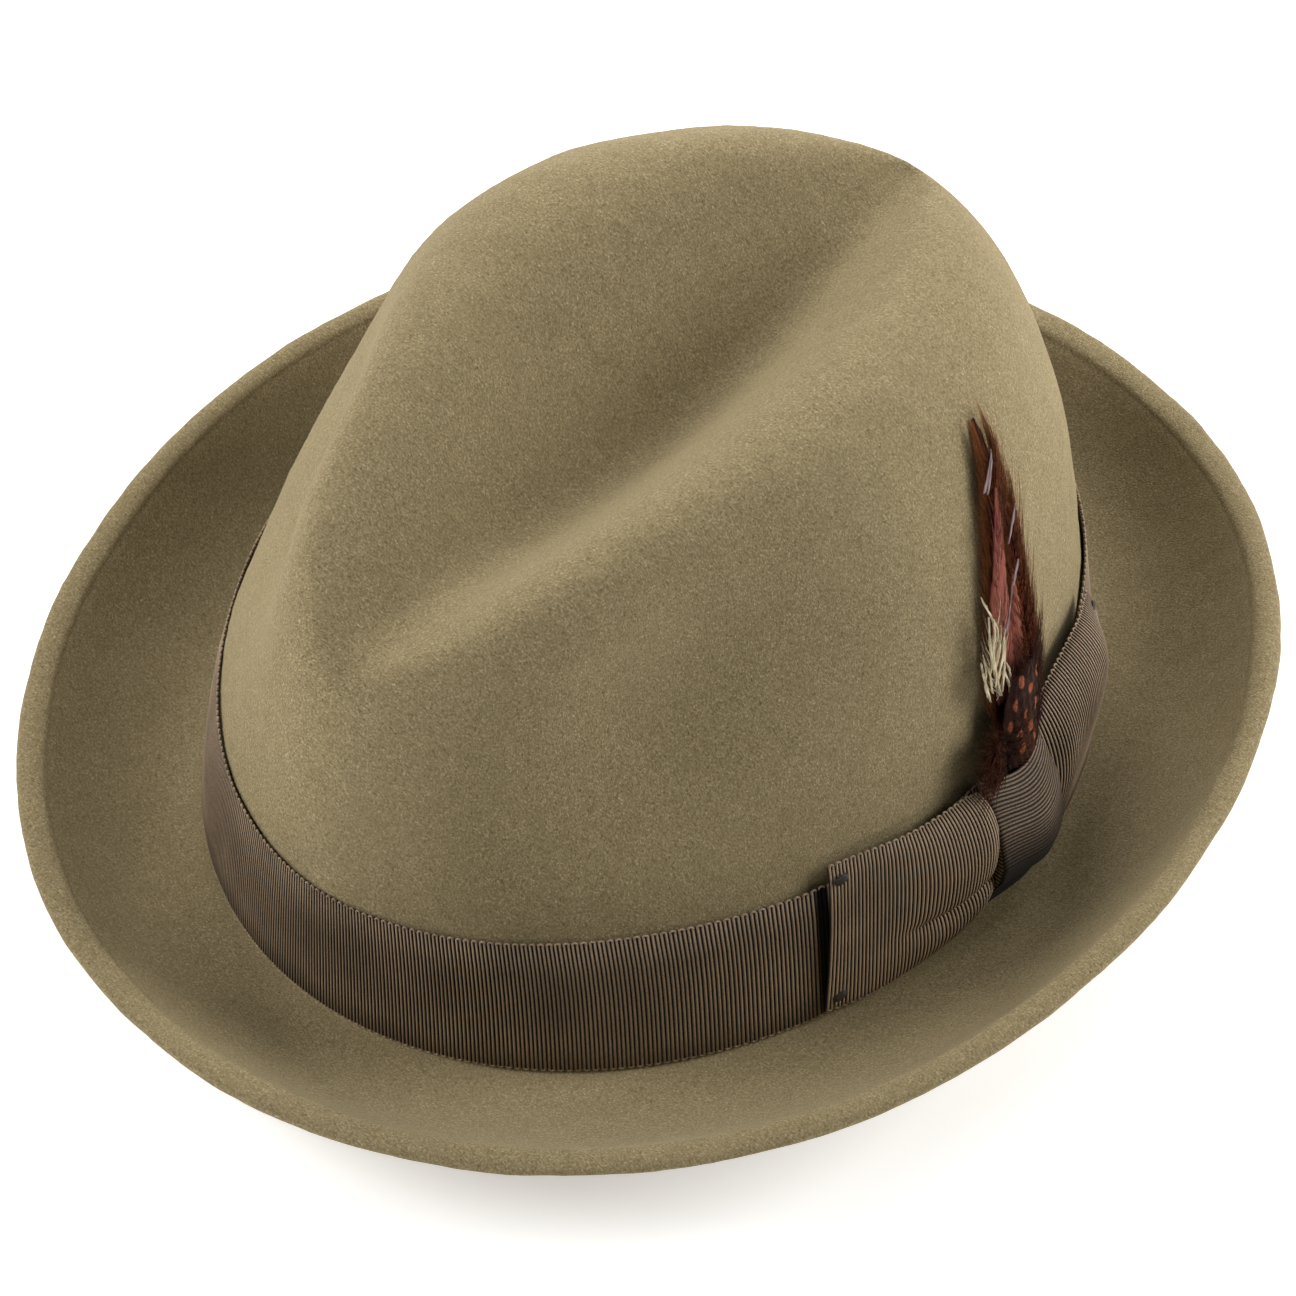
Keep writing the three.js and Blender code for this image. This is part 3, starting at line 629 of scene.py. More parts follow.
def tack(name, phi, z, distance, slope, node):
    """A bar of sewn thread: short strands side by side, pulled into the ribbon at their ends."""
    parts = Parts()
    centre = wall(phi * DEG, z, distance)
    out = normal_of(crown, phi * DEG, wall_s(z))
    along = unit(np.cross(np.array([0, 0, 1.0]), out))
    up = np.cross(out, along)
    length, strands = 3.0, 7
    direction = along * math.cos(slope) + up * math.sin(slope)
    beside = np.cross(out, direction)
    t = np.linspace(-1, 1, 11)
    rng = np.random.default_rng(int(phi * 10 + z))
    k = np.arange(strands) - (strands - 1) / 2
    reach = length / 2 * np.sqrt(1 - (k / (strands * 0.62)) ** 2)
    paths = (centre + direction * (t[None, :] * reach[:, None])[..., None]
             + beside * (k * 0.27 + rng.normal(0, 0.03, strands))[:, None, None] * np.ones((1, 11, 1))
             + out * (0.55 * (1 - t[None, :] ** 4) * (1 - (k[:, None] / 5) ** 2) - 0.35)[..., None])
    p, q, f = tubes(paths, 0.2, 6, out)
    parts.add(p, q, f)
    parts.build(name, "hat", THREAD_MATERIAL, [node])


def tacks():
    tack("tack_front_upper_thread", 71.0, 36.4, 3.1, 0.35, "tack_front_upper")
    tack("tack_front_lower_thread", 69.9, 7.6, 3.0, 0.3, "tack_front_lower")
    tack("tack_rear_upper_thread", 123.2, 37.6, 4.2, 0.5, "tack_rear_upper")
    tack("tack_rear_lower_thread", 124.0, 14.4, 3.4, 0.3, "tack_rear_lower")


# ---- Feathers --------------------------------------------------------------------------------
FEATHER_SHIFT = 1.2
SPRAY_SPAN = 79.0                  # mm of feather for one unit of s


def spray(s, side, distance):
    """A point in the spray: s up along it, side in mm towards the back, distance off the crown."""
    s = np.asarray(s, float)
    angle = 96.5 + 14 * np.clip(s, 0, 2) ** 1.6 + (np.asarray(side) + FEATHER_SHIFT) / (HALF_WIDTH * DEG)
    return off(crown, angle * DEG, 0.3 + 0.86 * s, np.broadcast_to(distance, np.broadcast(s, angle).shape))


def shaft(parts, s, side, distance, radius, **values):
    path = spray(s, side, distance)[None]
    p, q, t = tubes(path, np.asarray(radius)[None] if np.ndim(radius) else radius, 8)
    parts.add(p, q, t, **values)


def vane(parts, s, side, half, distance, curl=0.5, rows=17, **extra):
    """A smooth vane: a thin closed blade along the line side(s), half as wide as half(s) each way."""
    across = np.linspace(-1, 1, rows)
    S, A = np.meshgrid(s, across)
    centre, width = np.interp(S, s, side), np.interp(S, s, half)
    lift = np.interp(S, s, distance) - curl * A * A * width / 3
    ripple = 0.10 * np.sin(A * 23 + S * 60) + 0.08 * np.sin(S * 190 + A * 5)
    front = spray(S, centre + A * width, lift + ripple)
    back = spray(S, centre + A * width, lift + ripple - 0.16)
    flow = np.stack([S * SPRAY_SPAN - np.abs(A) * width * 1.6, A * width, np.sign(A)], -1)
    values = {k: f(S, centre + A * width) for k, f in extra.items()}
    sheet(parts, front, back, flow=flow, tone=np.full_like(S, 0.5), tip=np.abs(A) * 0.35, **values)


def barbs(parts, seed, count, s_range, side, reach, length, distance, radius=0.075, lift=0.5, tone=(0.2, 0.9),
          steps=6, both=(-1, 1), spot=None):
    """Loose barbs from a shaft: side(s) is the shaft's line, reach their spread in mm, length along it."""
    rng = np.random.default_rng(seed)
    root = rng.uniform(s_range[0], s_range[1], count)
    hand = rng.choice(both, count).astype(float)
    t = np.linspace(0, 1, steps)[None, :]
    far = reach(root) * rng.uniform(0.55, 1.1, count)
    long = rng.uniform(length[0], length[1], count) / SPRAY_SPAN
    bend = rng.uniform(0.55, 1.1, count)[:, None]
    S = root[:, None] + long[:, None] * (0.8 * t + 0.2 * t * t)
    sway = rng.normal(0, 0.35, (count, 1)) * np.sin(np.pi * t) * 1.4
    across = side(S) + hand[:, None] * far[:, None] * t ** bend + sway
    height = (distance + rng.uniform(-0.5, 0.5, (count, 1)) + lift * rng.uniform(-0.3, 1.2, (count, 1)) * t ** 1.5
              + 0.3 * np.sin(np.pi * t))
    points = spray(S, across, np.maximum(height, 0.35))
    thin = radius * (1 - 0.8 * t ** 1.3) * rng.uniform(0.7, 1.25, (count, 1))
    p, q, f = tubes(points, thin, 3)
    per = steps * 3 + 2
    shade = np.repeat(rng.uniform(tone[0], tone[1], count), per)
    tips = np.concatenate([np.repeat(np.broadcast_to(t, (count, steps))[:, :, None], 3, 2).reshape(count, -1),
                           np.zeros((count, 1)), np.ones((count, 1))], 1).ravel()
    values = {"tone": shade, "tip": tips, "flow": p}
    if spot is not None:
        values["spot"] = np.full(len(p), float(spot))
    parts.add(p, q, f, **values)


def feather_material(name, dark, mid, light, tip, streak=1.0, sheen=0.0, spots=None):
    n = Nodes(name, Roughness=0.62, Specular_IOR_Level=0.1, Sheen_Weight=sheen, Sheen_Roughness=0.35)
    flow, tone, far = n.attribute("flow", True), n.attribute("tone"), n.attribute("tip")
    fine = n.noise(n.stretch(flow, (0.22, 7.0, 1.0)), 1, 2, 0.6)
    broad = n.noise(n.stretch(flow, (0.10, 1.1, 1.0)), 1, 2, 0.5)
    value = n.math("ADD", n.math("MULTIPLY", n.math("SUBTRACT", fine, 0.5), 1.3 * streak),
                   n.math("MULTIPLY", n.math("SUBTRACT", broad, 0.5), 1.1 * streak))
    value = n.math("ADD", value, tone, True)
    color = n.ramp(value, [(0.08, dark), (0.45, mid), (0.9, light)])
    color = n.mix(n.scaled(far, 0.35, 1.0, 0, 0.85), color, tip)
    if spots:
        color = n.mix(n.attribute("spot"), color, spots)
    return n.finish(color, n.bump(fine, 0.00012, 0.7))


HACKLE_SIDE = ([0.10, 0.30, 0.50, 0.62, 0.72, 0.80, 0.89], [1.5, 0.5, 0.6, 1.0, 2.2, 4.2, 7.4])
SHORT_SIDE = ([0.10, 0.27, 0.40, 0.53, 0.66, 0.80], [6.0, 8.4, 6.6, 4.8, 4.4, 5.6])


def line(table):
    return lambda s: np.interp(s, *table)


def feathers():
    # Long brown hackle, behind the others
    s = np.linspace(0.12, 0.872, 90)
    side = line(HACKLE_SIDE)
    half = np.interp(s, [0.12, 0.3, 0.5, 0.7, 0.8, 0.85, 0.872], [1.4, 2.9, 3.5, 3.4, 2.7, 1.6, 0.3])
    parts = Parts()
    vane(parts, s, side(s), half, np.full_like(s, 1.15))
    shaft(parts, s, side(s), 1.35, np.linspace(0.34, 0.1, len(s)), tone=0.1, tip=0.0, flow=(0, 0, 0))
    barbs(parts, 31, 2300, (0.10, 0.765), side, lambda r: np.interp(r, [0.1, 0.2, 0.5, 0.68, 0.765], [2.4, 5.4, 5.8, 5.2, 3.2]),
          (7, 11), 1.6, radius=0.085, tone=(0.0, 0.8))
    barbs(parts, 32, 420, (0.12, 0.74), side, lambda r: np.interp(r, [0.1, 0.2, 0.5, 0.64, 0.74], [3.6, 8.2, 8.8, 7.6, 3.6]),
          (8, 13), 1.7, radius=0.05, lift=1.4, tone=(0.4, 1.0))
    parts.build("hackle_long_barbs", "feather_spray", BROWN, ["feather_hackle_long"])
    # Shorter hackle towards the back
    s = np.linspace(0.12, 0.70, 70)
    side = line(SHORT_SIDE)
    half = np.interp(s, [0.12, 0.3, 0.5, 0.62, 0.70], [1.6, 2.4, 2.0, 1.4, 0.2])
    parts = Parts()
    vane(parts, s, side(s), half, np.full_like(s, 2.0))
    shaft(parts, s, side(s), 2.2, np.linspace(0.3, 0.09, len(s)), tone=0.1, tip=0.0, flow=(0, 0, 0))
    barbs(parts, 33, 1200, (0.12, 0.62), side, lambda r: np.interp(r, [0.1, 0.4, 0.68], [4.6, 4.2, 3.0]),
          (8, 14), 2.4, radius=0.085, tone=(0.05, 0.85))
    barbs(parts, 34, 260, (0.14, 0.60), side, lambda r: np.interp(r, [0.1, 0.68], [6.4, 5.4]),
          (9, 15), 2.5, radius=0.05, lift=1.5, tone=(0.5, 0.95))
    parts.build("hackle_short_barbs", "feather_spray", BROWN, ["feather_hackle_short"])
    # Smooth maroon feather and its second blade
    s = np.linspace(0.27, 0.765, 80)
    parts = Parts()
    side = np.interp(s, [0.27, 0.42, 0.56, 0.69, 0.765], [0.4, -1.2, -1.9, -0.2, 1.4])
    half = np.interp(s, [0.27, 0.42, 0.55, 0.62, 0.71, 0.765], [3.0, 3.1, 2.8, 2.0, 1.1, 0.15])
    vane(parts, s, side, half, np.full_like(s, 3.6), 0.7)
    s2 = np.linspace(0.28, 0.56, 50)
    half = np.interp(s2, [0.28, 0.4, 0.5, 0.56], [1.5, 1.9, 1.3, 0.15])
    vane(parts, s2, np.interp(s2, [0.28, 0.4, 0.56], [4.6, 3.6, 2.6]), half, np.full_like(s2, 3.3), 0.7)
    barbs(parts, 35, 70, (0.28, 0.7), lambda r: np.interp(r, [0.27, 0.42, 0.56, 0.79], [0.4, -1.4, -2.6, 0.5]),
          lambda r: np.interp(r, [0.28, 0.7], [3.3, 1.6]), (5, 9), 3.6, tone=(0.3, 0.7), lift=0.3)
    parts.build("maroon_vane", "feather_spray", MAROON, ["feather_maroon"])
    # Cream strands: each a thin waved blade
    parts = Parts()
    strands = [((0.393, 0.44, 0.485, 0.54, 0.597), (-6.5, -6.6, -5.8, -7.0, -8.6), 0.24),
               ((0.37, 0.44, 0.50, 0.57), (-5.7, -5.9, -5.6, -7.4), 0.20), ((0.325, 0.38, 0.45, 0.517), (-4.7, -5.6, -5.2, -5.6), 0.24),
               ((0.325, 0.36, 0.393, 0.43, 0.475), (-4.7, -5.2, -5.3, -4.2, -2.8), 0.42), ((0.33, 0.38, 0.43, 0.462), (-3.9, -4.4, -3.4, -2.2), 0.26),
               ((0.336, 0.38, 0.42, 0.456), (-7.6, -8.6, -9.4, -10.1), 0.26), ((0.345, 0.38, 0.43), (-6.6, -7.4, -8.4), 0.2),
               ((0.296, 0.34, 0.38, 0.412), (-1.0, -1.6, -2.6, -3.5), 0.2), ((0.31, 0.35, 0.40), (-2.4, -2.9, -3.9), 0.22),
               ((0.40, 0.45, 0.50, 0.545), (-7.6, -7.4, -7.0, -7.6), 0.2), ((0.36, 0.42, 0.48, 0.53), (-6.0, -6.5, -6.0, -6.4), 0.3),
               ((0.34, 0.40, 0.46, 0.50), (-5.2, -6.2, -4.9, -4.4), 0.2), ((0.35, 0.39, 0.44, 0.47), (-8.4, -9.3, -9.2, -9.6), 0.16)]
    for i, (at, sides, half) in enumerate(strands):
        s = np.linspace(at[0], at[-1], 34)
        taper = half * bump_between((s - at[0]) / (at[-1] - at[0]) * 0.94 + 0.05, 0.6)
        side = np.interp(s, at, sides) + 0.2 * np.sin(40 * s + i)
        vane(parts, s, side, np.maximum(taper, 0.06), 4.6 + 0.12 * i % 0.5 + 0.3 * np.sin(50 * s + 2 * i), 0.5, rows=7)
    barbs(parts, 36, 36, (0.31, 0.5), lambda r: np.interp(r, [0.3, 0.5], [-5.0, -6.6]),
          lambda r: 3.4 + 0 * r, (5, 9), 4.4, radius=0.06, tone=(0.3, 0.9))
    parts.build("cream_strands", "feather_spray", CREAM, ["feather_cream"])
    # Spotted feather
    s = np.linspace(0.10, 0.365, 110)
    side_at = lambda r: np.interp(r, [0.10, 0.24, 0.365], [1.8, 1.8, 2.4])
    half = np.interp(s, [0.10, 0.2, 0.3, 0.34, 0.365], [4.4, 6.0, 5.8, 4.2, 1.2])
    dots = [(0.321, 3.1), (0.334, -1.5), (0.262, 5.5), (0.297, 0.9), (0.285, -3.0), (0.235, 2.9), (0.242, -0.6),
            (0.193, 1.0), (0.234, -4.1), (0.197, -2.1), (0.150, 2.4), (0.150, -1.2), (0.205, 5.0)]

    def spots(S, A):
        total = np.zeros_like(S)
        for i, (at, aside) in enumerate(dots):
            r = np.hypot((S - at + 0.008) * SPRAY_SPAN / (1.25 if i % 3 else 1.0), (A - aside - 1.2) / (0.62 if i % 2 else 0.5))
            total = np.maximum(total, smooth((1.12 - r) / 0.25))
        return total
    parts = Parts()
    vane(parts, s, side_at(s), half, np.full_like(s, 6.9), 0.8, rows=61, spot=spots)
    barbs(parts, 37, 420, (0.10, 0.30), side_at, lambda r: np.interp(r, [0.1, 0.30], [6.6, 6.2]),
          (4, 8), 5.9, tone=(0.1, 0.7), lift=0.1, radius=0.06, spot=0)
    barbs(parts, 40, 90, (0.30, 0.37), side_at, lambda r: 4.6 + 0 * r, (5, 9), 6.4, tone=(0.6, 1.1), lift=0.1,
          radius=0.06, spot=0)
    parts.build("spotted_vane", "feather_spray", GUINEA, ["feather_guinea"])
    # Fluff at the base
    parts = Parts()
    middle = lambda r: -3.4 + 0 * r
    barbs(parts, 38, 700, (0.10, 0.21), middle, lambda r: 5.6 + 0 * r, (-2, 7), 5.2, radius=0.10, lift=2.4,
          tone=(0.0, 0.7))
    barbs(parts, 39, 230, (0.09, 0.22), middle, lambda r: 8.8 + 0 * r, (-5, 7), 4.8, radius=0.085, lift=3.2,
          tone=(0.3, 1.0), both=(-1, -1))
    s = np.linspace(0.08, 0.21, 30)
    vane(parts, s, -2.2 + 0 * s, np.interp(s, [0.08, 0.13, 0.21], [1.0, 3.4, 1.6]), 4.2 + 0 * s, 0.9)
    parts.build("base_fluff", "feather_spray", FLUFF, ["feather_fluff"])
    # Pale lilac quills, split blades standing on edge
    parts = Parts()
    for a, b, half, distance in (((0.775, -1.6), (0.822, 4.9), 0.42, 3.1), ((0.768, -1.0), (0.812, 3.5), 0.3, 3.3),
                                 ((0.644, 1.0), (0.700, 5.6), 0.3, 4.3), ((0.548, 1.0), (0.590, 3.4), 0.25, 4.4),
                                 ((0.46, -2.4), (0.56, 0.6), 0.16, 4.6)):
        s = np.linspace(a[0], b[0], 24)
        u = (s - a[0]) / (b[0] - a[0])
        vane(parts, s, a[1] + (b[1] - a[1]) * u, np.maximum(half * bump_between(u * 0.8 + 0.16, 0.7), 0.05),
             distance + 0 * s, 0.2, rows=5)
    parts.build("lilac_quills", "feather_spray", LILAC, ["feather_quill_lilac"])


def stem_and_binding():
    z = np.linspace(9, 38.4, 24)
    path = wall(96.5 * DEG, z, 2.5)
    p, q, t = tubes(path[None], np.linspace(0.72, 0.6, 24)[None], 16)
    parts = Parts()
    parts.add(p, q, t, flow=p, tone=0.5, tip=0.0)
    parts.build("stem_quill", "feather_spray", LILAC, ["feather_stem"])
    parts = Parts()
    turns = 7
    t = np.linspace(0, turns * TAU, turns * 26)
    along = unit(path[-1] - path[-6])
    side = unit(np.cross(along, [0, 0, 1.0]))
    other = np.cross(along, side)
    start = path[-1] - along * 2.9
    coil = start + along * (t / t[-1] * 2.4)[:, None] + (side * np.cos(t)[:, None] + other * np.sin(t)[:, None]) * 1.02
    p, q, f = tubes(coil[None], 0.2, 7)
    parts.add(p, q, f)
    parts.build("binding_thread", "feather_spray", THREAD_MATERIAL, ["feather_binding"])


# ---- Inside ----------------------------------------------------------------------------------
def ring_sheet(phi, s, near, far):
    return off(crown, phi, s, np.broadcast_to(near, np.broadcast(phi, s).shape)), \
        off(crown, phi, s, np.broadcast_to(far, np.broadcast(phi, s).shape))


def inside():
    around = 360
    phi = (np.arange(around) * TAU / around)[None, :]
    # Sweatband, its edges rolled and its face gently waved
    z = np.concatenate([[3.6, 3.75, 4.2], np.linspace(5, 39, 26), [39.8, 40.25, 40.4]])[:, None]
    roll = np.interp(z, [3.6, 4.2, 39.8, 40.4], [0.42, 0.5, 0.5, 0.36])
    wave = 0.08 * np.sin(5 * phi + 0.12 * z) * smooth((z - 8) / 10)
    middle = (LEATHER_NEAR + LEATHER_FAR) / 2
    outer, inner = ring_sheet(phi, wall_s(z), middle + roll, middle - roll - np.abs(wave) * 0.6)
    parts = Parts()
    sheet(parts, outer, inner, closed=True)
    parts.build("sweatband_leather", "hat", LEATHER, ["sweatband"])
    # Two rows of stitches along its lower edge
    stitches = 230
    for name, height in (("sweatband_stitches_low", 6.0), ("sweatband_stitches_high", 7.6)):
        t = np.linspace(0, 1, 7)[None, :]
        angle = (np.arange(stitches)[:, None] + 0.14 + 0.72 * t) * TAU / stitches
        dip = -4.93 - 0.16 * np.sin(np.pi * t) + 0 * angle
        path = wall(angle, height + 0 * angle, dip)
        p, q, f = tubes(path, 0.17, 6)
        parts = Parts()
        parts.add(p, q, f)
        parts.build(name, "hat", THREAD_MATERIAL)
    # Reed
    fine = np.arange(361) * TAU / 360
    ring = off(crown, fine, 0.002, np.full_like(fine, LEATHER_NEAR - 0.55))
    turn = np.arange(14) * TAU / 14
    out = unit(off(crown, fine, 0.002, np.full_like(fine, -3.0)) - ring)
    along = unit(np.roll(ring[:-1], -1, 0) - np.roll(ring[:-1], 1, 0))
    along = np.concatenate([along, along[:1]])
    up = unit(np.cross(along, out))
    twist = turn[:, None] + fine[None, :] * 0
    tube = ring[None] + 1.06 * (out[None] * np.cos(twist)[..., None] + up[None] * np.sin(twist)[..., None])
    parts = Parts()
    parts.add(tube[:, :-1].reshape(-1, 3), grid_faces(14, 360, wrap_rows=True, wrap_columns=True)[:, ::-1])
    parts.build("sweatband_reed_cord", "hat", REED, ["sweatband_reed"])
    # Lining: gathered side, smooth tip, piping on the seam
    s = np.linspace(0.34, 1.09, 60)[:, None]
    gather = 0.10 * np.sin(phi * 44) + 0.06 * np.sin(phi * 97 + 1.0)
    gather = gather * smooth((1.08 - s) / 0.5) - 0.1
    near, far = ring_sheet(phi, s, LINING_NEAR - 0.12 + gather, LINING_FAR + gather * 0.9)
    parts = Parts()
    sheet(parts, near, far, closed=True)
    parts.build("lining_side_satin", "hat", SATIN, ["lining_side"])
    s = np.linspace(1.11, 1.985, 80)[:, None]
    near, far = ring_sheet(phi, s, LINING_NEAR - 0.06, LINING_FAR)
    rows = np.concatenate([near, far[::-1]])
    top = crown(0.0, 2.0)
    points = np.concatenate([rows.reshape(-1, 3), [top + [0, 0, LINING_FAR]], [top + [0, 0, LINING_NEAR]]])
    # The two faces meet at the seam; each closes on a pole under the dent.
    total = len(rows)
    order = np.concatenate([near[::-1], far])
    points[:total * around] = order.reshape(-1, 3)
    quads = grid_faces(total, around, wrap_columns=True)[:, ::-1]
    k = np.arange(around)
    a, b = total * around + 1, total * around
    tris = np.concatenate([np.stack([np.full(around, a), k, (k + 1) % around], -1),
                           np.stack([np.full(around, b), (total - 1) * around + (k + 1) % around,
                                     (total - 1) * around + k], -1)])
    make("lining_tip_satin", points, [quads, tris], "hat", SATIN, ["lining_tip"])
    ring = off(crown, fine, 1.1, np.full_like(fine, LINING_FAR - GAP - 0.7))
    along = unit(np.roll(ring[:-1], -1, 0) - np.roll(ring[:-1], 1, 0))
    along = np.concatenate([along, along[:1]])
    out = unit(off(crown, fine, 1.1, np.full_like(fine, -2.0)) - ring)
    up = unit(np.cross(along, out))
    turn = np.arange(10) * TAU / 10
    twisted = 0.62 + 0.06 * np.sin(fine * 130)[None, :] + 0 * turn[:, None]
    tube = ring[None] + twisted[..., None] * (out[None] * np.cos(turn)[:, None, None] + up[None] * np.sin(turn)[:, None, None])
    parts = Parts()
    parts.add(tube[:, :-1].reshape(-1, 3), grid_faces(10, 360, wrap_rows=True, wrap_columns=True)[:, ::-1])
    parts.build("lining_piping_cord", "hat", SATIN, ["lining_piping"])
    inside_trim()


def patch(parts, phi_range, z_range, distance, thickness, columns=30, rows=24, bulge=0.0, **shape):
    """A small piece flat on the sweatband's inner face, with rounded edges."""
    u, v = np.meshgrid(np.linspace(0, 1, columns), np.linspace(0, 1, rows))
    round_u = np.sqrt(np.clip(1 - (2 * u - 1) ** 16, 0, 1))
    round_v = np.sqrt(np.clip(1 - (2 * v - 1) ** 16, 0, 1))
    phi = (phi_range[0] + (phi_range[1] - phi_range[0]) * u) * DEG
    low, high = z_range(u) if callable(z_range) else z_range
    z = low + (high - low) * v
    thick = thickness * (0.25 + 0.75 * round_u * round_v) / 2 + bulge * bump_between(u) * bump_between(v)
    front, back = wall(phi, z, distance - thick), wall(phi, z, distance + thickness / 2 + 0 * thick)
    sheet(parts, back, front, **shape)


def inside_trim():
    parts = Parts()
    patch(parts, (177, 183), (6, 38), LEATHER_FAR - GAP - 0.3, 0.6)
    parts.build("seam_tape_leather", "hat", LEATHER, ["sweatband_seam_tape"])
    parts = Parts()
    patch(parts, (192, 201), (14, 24), LEATHER_FAR - GAP - 0.2, 0.4, 60, 50)
    parts.build("blank_tab", "hat", TAB, ["size_tab"])
    parts = Parts()
    for a, b in ((174.0, 179.4), (186.0, 180.6)):
        def loop(u, v, a=a, b=b):
            flare = 1.1 + 2.2 * np.clip(1 - u, 0, 1) ** 0.8
            z = 12 + flare * (2 * v - 1)
            return wall((a + (b - a) * u) * DEG, z, LEATHER_FAR - GAP - 1.7 - 0.5 * bump_between(u) * bump_between(v, 0.5))
        ribbed_sheet(parts, (lambda u, v: loop(1 - u, v)) if a < b else loop, 9, 9, 0.35, 0.16, edges=(False, False), seed=int(a))
    ribbed_sheet(parts, lambda u, v: wall((178.9 + 2.2 * v) * DEG, 10.4 + 3.2 * u, LEATHER_FAR - GAP - 2.35 - 0.25 * bump_between(v)),
                 4, 7, 0.4, 0.16, edges=(False, False), seed=9)
    parts.build("sweatband_bow_ribbon", "hat", RIBBON_MATERIAL, ["sweatband_bow"])


def simple_material(name, low, high, scale, stretch=(1, 1, 1), bump=0.0002, roughness=0.6, detail=3, sheen=0.0, specular=0.4):
    """Two close colours over one noise, which also makes the relief."""
    n = Nodes(name, Roughness=roughness, Specular_IOR_Level=specular, Sheen_Weight=sheen)
    place = n.stretch(n.place(), stretch)
    fine, broad = n.noise(place, scale, detail, 0.6), n.noise(n.place(), 40, 2, 0.5)
    color = n.mix(n.scaled(fine, 0.3, 0.7), low, high)
    color = n.mix(n.scaled(broad, 0.35, 0.75, 0, 0.35), color, tuple(c * 0.62 for c in low))
    return n.finish(color, n.bump(fine, bump, 0.7), n.scaled(broad, 0.3, 0.7, roughness - 0.06, roughness + 0.08))


def leather_material():
    n = Nodes("sweatband_leather", Roughness=0.48, Specular_IOR_Level=0.45, Coat_Weight=0.08, Coat_Roughness=0.35)
    cells = n.node("TexVoronoi", feature="DISTANCE_TO_EDGE", inputs={"Vector": n.place(), "Scale": 900.0}).outputs[0]
    grain = n.scaled(cells, 0.0, 0.25)
    broad = n.noise(n.place(), 55, 3, 0.6)
    color = n.mix(grain, (0.050, 0.022, 0.010), (0.150, 0.071, 0.033))
    color = n.mix(n.scaled(broad, 0.35, 0.7, 0, 0.5), color, (0.21, 0.105, 0.052))
    return n.finish(color, n.bump(grain, 0.00012, 0.7), n.scaled(broad, 0.3, 0.7, 0.4, 0.58))


def satin_material():
    n = Nodes("lining_satin", Roughness=0.36, Specular_IOR_Level=0.5, Anisotropic=0.45, Sheen_Weight=0.15)
    threads = n.noise(n.stretch(n.place(), (5200, 5200, 350)), 1, 2, 0.6)
    broad = n.noise(n.place(), 60, 2, 0.5)
    color = n.mix(n.scaled(threads, 0.3, 0.7), (0.062, 0.048, 0.022), (0.118, 0.094, 0.048))
    color = n.mix(n.scaled(broad, 0.3, 0.7, 0, 0.3), color, (0.16, 0.13, 0.07))
    return n.finish(color, n.bump(threads, 0.00006, 0.5))


THREAD_MATERIAL = simple_material("thread", (0.018, 0.012, 0.008), (0.055, 0.040, 0.028), 5200, (1, 1, 0.35), 0.00012, 0.6)
LEATHER = leather_material()
SATIN = satin_material()
REED = simple_material("reed", (0.20, 0.165, 0.095), (0.33, 0.28, 0.18), 1900, (1, 1, 3), 0.0002, 0.7)
TAB = simple_material("tab_cloth", (0.62, 0.59, 0.52), (0.84, 0.81, 0.74), 2600, (1, 1, 2.6), 0.00016, 0.85, sheen=0.1)
BROWN = feather_material("hackle_brown", (0.006, 0.0017, 0.0012), (0.056, 0.0105, 0.0050), (0.23, 0.056, 0.018), (0.23, 0.090, 0.030), streak=1.5)
MAROON = feather_material("maroon_vane", (0.070, 0.016, 0.011), (0.205, 0.056, 0.038), (0.30, 0.098, 0.070), (0.16, 0.045, 0.032),
                          streak=0.55, sheen=0.08)
CREAM = feather_material("cream_strand", (0.26, 0.20, 0.11), (0.56, 0.48, 0.31), (0.78, 0.70, 0.52), (0.42, 0.34, 0.22), streak=0.9)
GUINEA = feather_material("spotted_vane", (0.005, 0.0025, 0.002), (0.018, 0.0065, 0.004), (0.055, 0.017, 0.008), (0.05, 0.016, 0.009),
                          spots=(0.26, 0.072, 0.030))
FLUFF = feather_material("fluff", (0.004, 0.0018, 0.0012), (0.012, 0.0045, 0.0026), (0.085, 0.018, 0.008), (0.10, 0.030, 0.012))
LILAC = feather_material("lilac_quill", (0.16, 0.105, 0.10), (0.27, 0.19, 0.19), (0.42, 0.33, 0.34), (0.36, 0.28, 0.28), streak=0.6)


felt_body()
hat_band()
bow()
tacks()
feathers()
stem_and_binding()
inside()

# ---- Stage -----------------------------------------------------------------------------------
FOCAL, IMAGE, SENSOR = 4678.1, 1296.0, 36.0
VIEW_AROUND, VIEW_UP, VIEW_ROLL, VIEW_DISTANCE = 42.33, 48.24, -0.31, 0.97622
AIM = (-5.587, 63.104)             # how far the view's middle lies from the crown's middle, in image units


def stage():
    floor = bpy.data.meshes.new("floor")
    floor.from_pydata([(-4, -4, 0), (4, -4, 0), (4, 4, 0), (-4, 4, 0)], [], [(0, 1, 2, 3)])
    obj = bpy.data.objects.new("floor", floor)
    bpy.context.scene.collection.objects.link(obj)
    n = Nodes("pale_floor", Roughness=0.9, Specular_IOR_Level=0.1, Emission_Strength=0.4)
    n.shader.inputs["Emission Color"].default_value = (1, 1, 1, 1)
    floor.materials.append(n.finish((0.93, 0.93, 0.93, 1)))


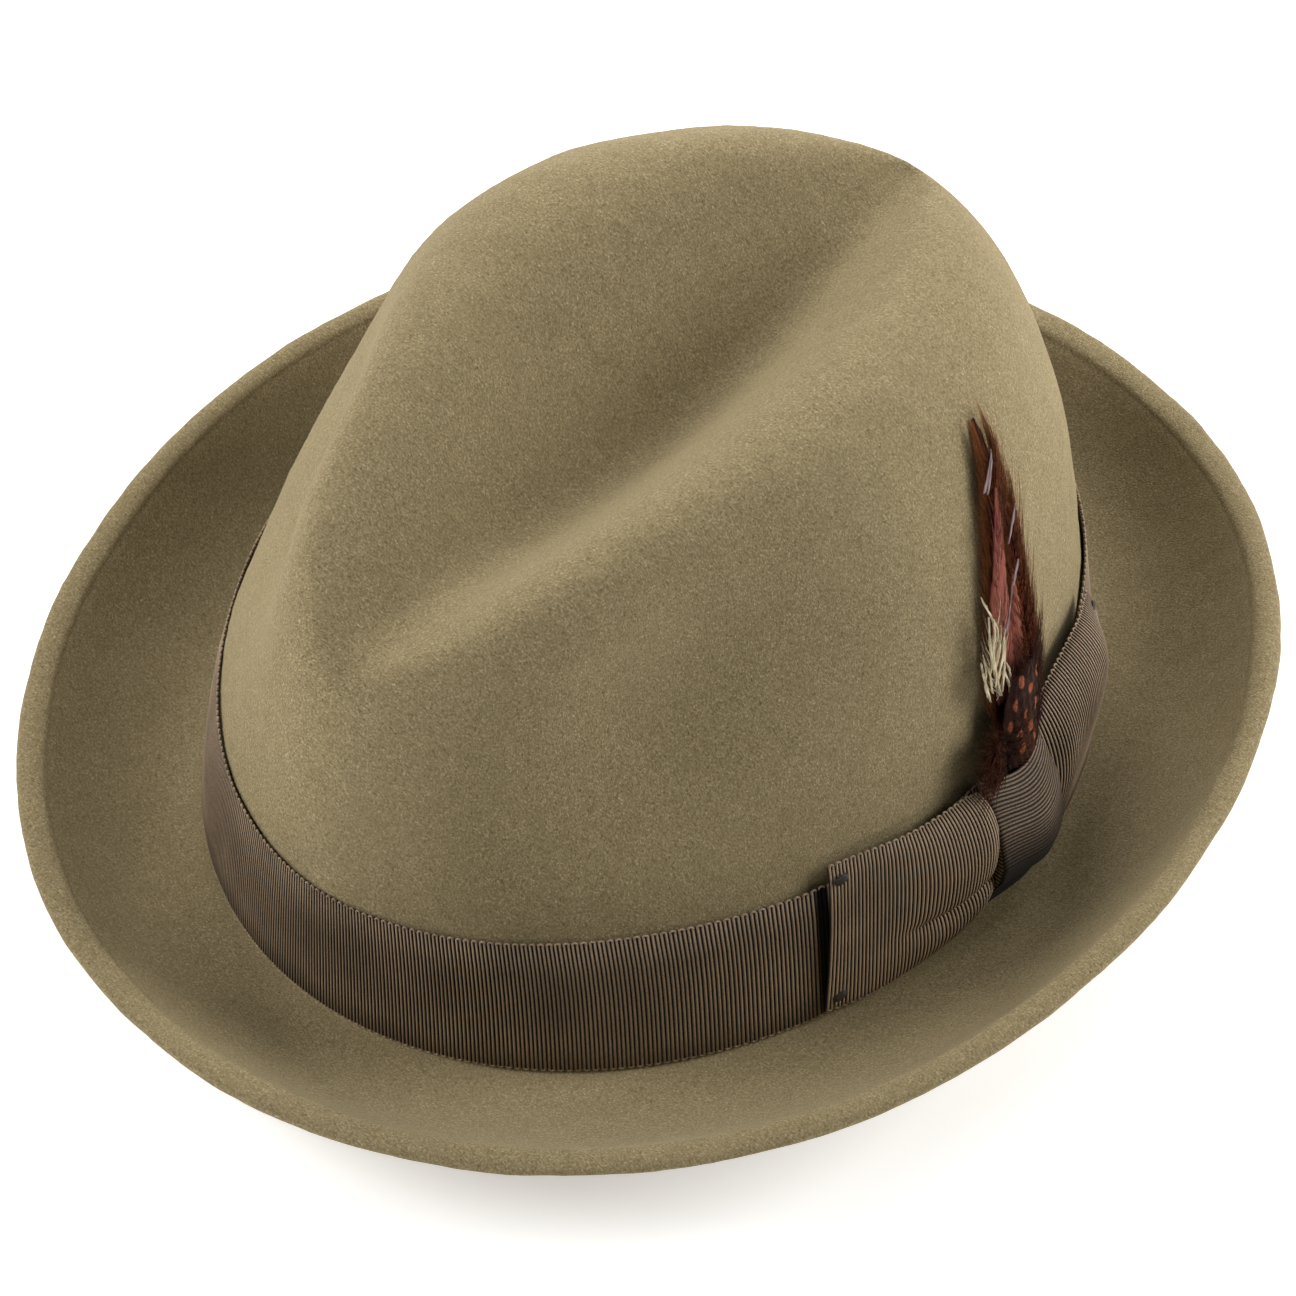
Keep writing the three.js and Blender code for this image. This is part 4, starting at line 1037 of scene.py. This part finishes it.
def camera():
    a, e, r = (math.radians(v) for v in (VIEW_AROUND, VIEW_UP, VIEW_ROLL))
    back = Vector((math.sin(a) * math.cos(e), -math.cos(a) * math.cos(e), math.sin(e)))
    right = Vector((math.cos(a), math.sin(a), 0))
    up = back.cross(right)
    right, up = right * math.cos(r) + up * math.sin(r), up * math.cos(r) - right * math.sin(r)
    eye = back * VIEW_DISTANCE + Vector(SHIFT * MM) + Vector((0, 0, FELT * MM))
    forward = (-back + right * (AIM[0] / FOCAL) + up * (AIM[1] / FOCAL)).normalized()
    right = forward.cross(up).normalized()
    up = right.cross(forward)
    data = bpy.data.cameras.new("camera")
    data.lens, data.sensor_width = FOCAL * SENSOR / IMAGE, SENSOR
    data.clip_start, data.clip_end = 0.05, 20
    cam = bpy.data.objects.new("camera", data)
    cam.matrix_world = Matrix(((right.x, up.x, -forward.x, eye.x), (right.y, up.y, -forward.y, eye.y),
                               (right.z, up.z, -forward.z, eye.z), (0, 0, 0, 1)))
    bpy.context.scene.collection.objects.link(cam)
    bpy.context.scene.camera = cam


def light(name, around, up, distance, size, power, color=(1, 1, 1)):
    data = bpy.data.lights.new(name, "AREA")
    data.shape, data.size, data.energy, data.color = "DISK", size, power, color
    obj = bpy.data.objects.new(name, data)
    a, e = math.radians(around), math.radians(up)
    place = Vector((math.sin(a) * math.cos(e), -math.cos(a) * math.cos(e), math.sin(e)))
    obj.location = place * distance + Vector((0, 0, 0.05))
    obj.rotation_mode = "QUATERNION"
    obj.rotation_quaternion = place.to_track_quat("Z", "Y")
    bpy.context.scene.collection.objects.link(obj)


def lights():
    world = bpy.data.worlds.new("studio")
    bpy.context.scene.world = world
    world.use_nodes = True
    world.node_tree.nodes["Background"].inputs[0].default_value = (1, 1, 1, 1)
    world.node_tree.nodes["Background"].inputs[1].default_value = 0.06
    light("back", 180, 30, 1.6, 0.9, 10)
    light("left", 270, 15, 1.6, 0.9, 2)
    light("front", 350, 45, 1.6, 0.9, 5)
    light("back_left", 225, 30, 1.6, 0.9, 17.5)
    light("front_left", 312, 33, 1.6, 0.9, 19.5)
    light("back_right", 135, 27, 1.6, 0.9, 24)


stage()
camera()
lights()
bpy.context.scene.view_settings.view_transform = "Standard"
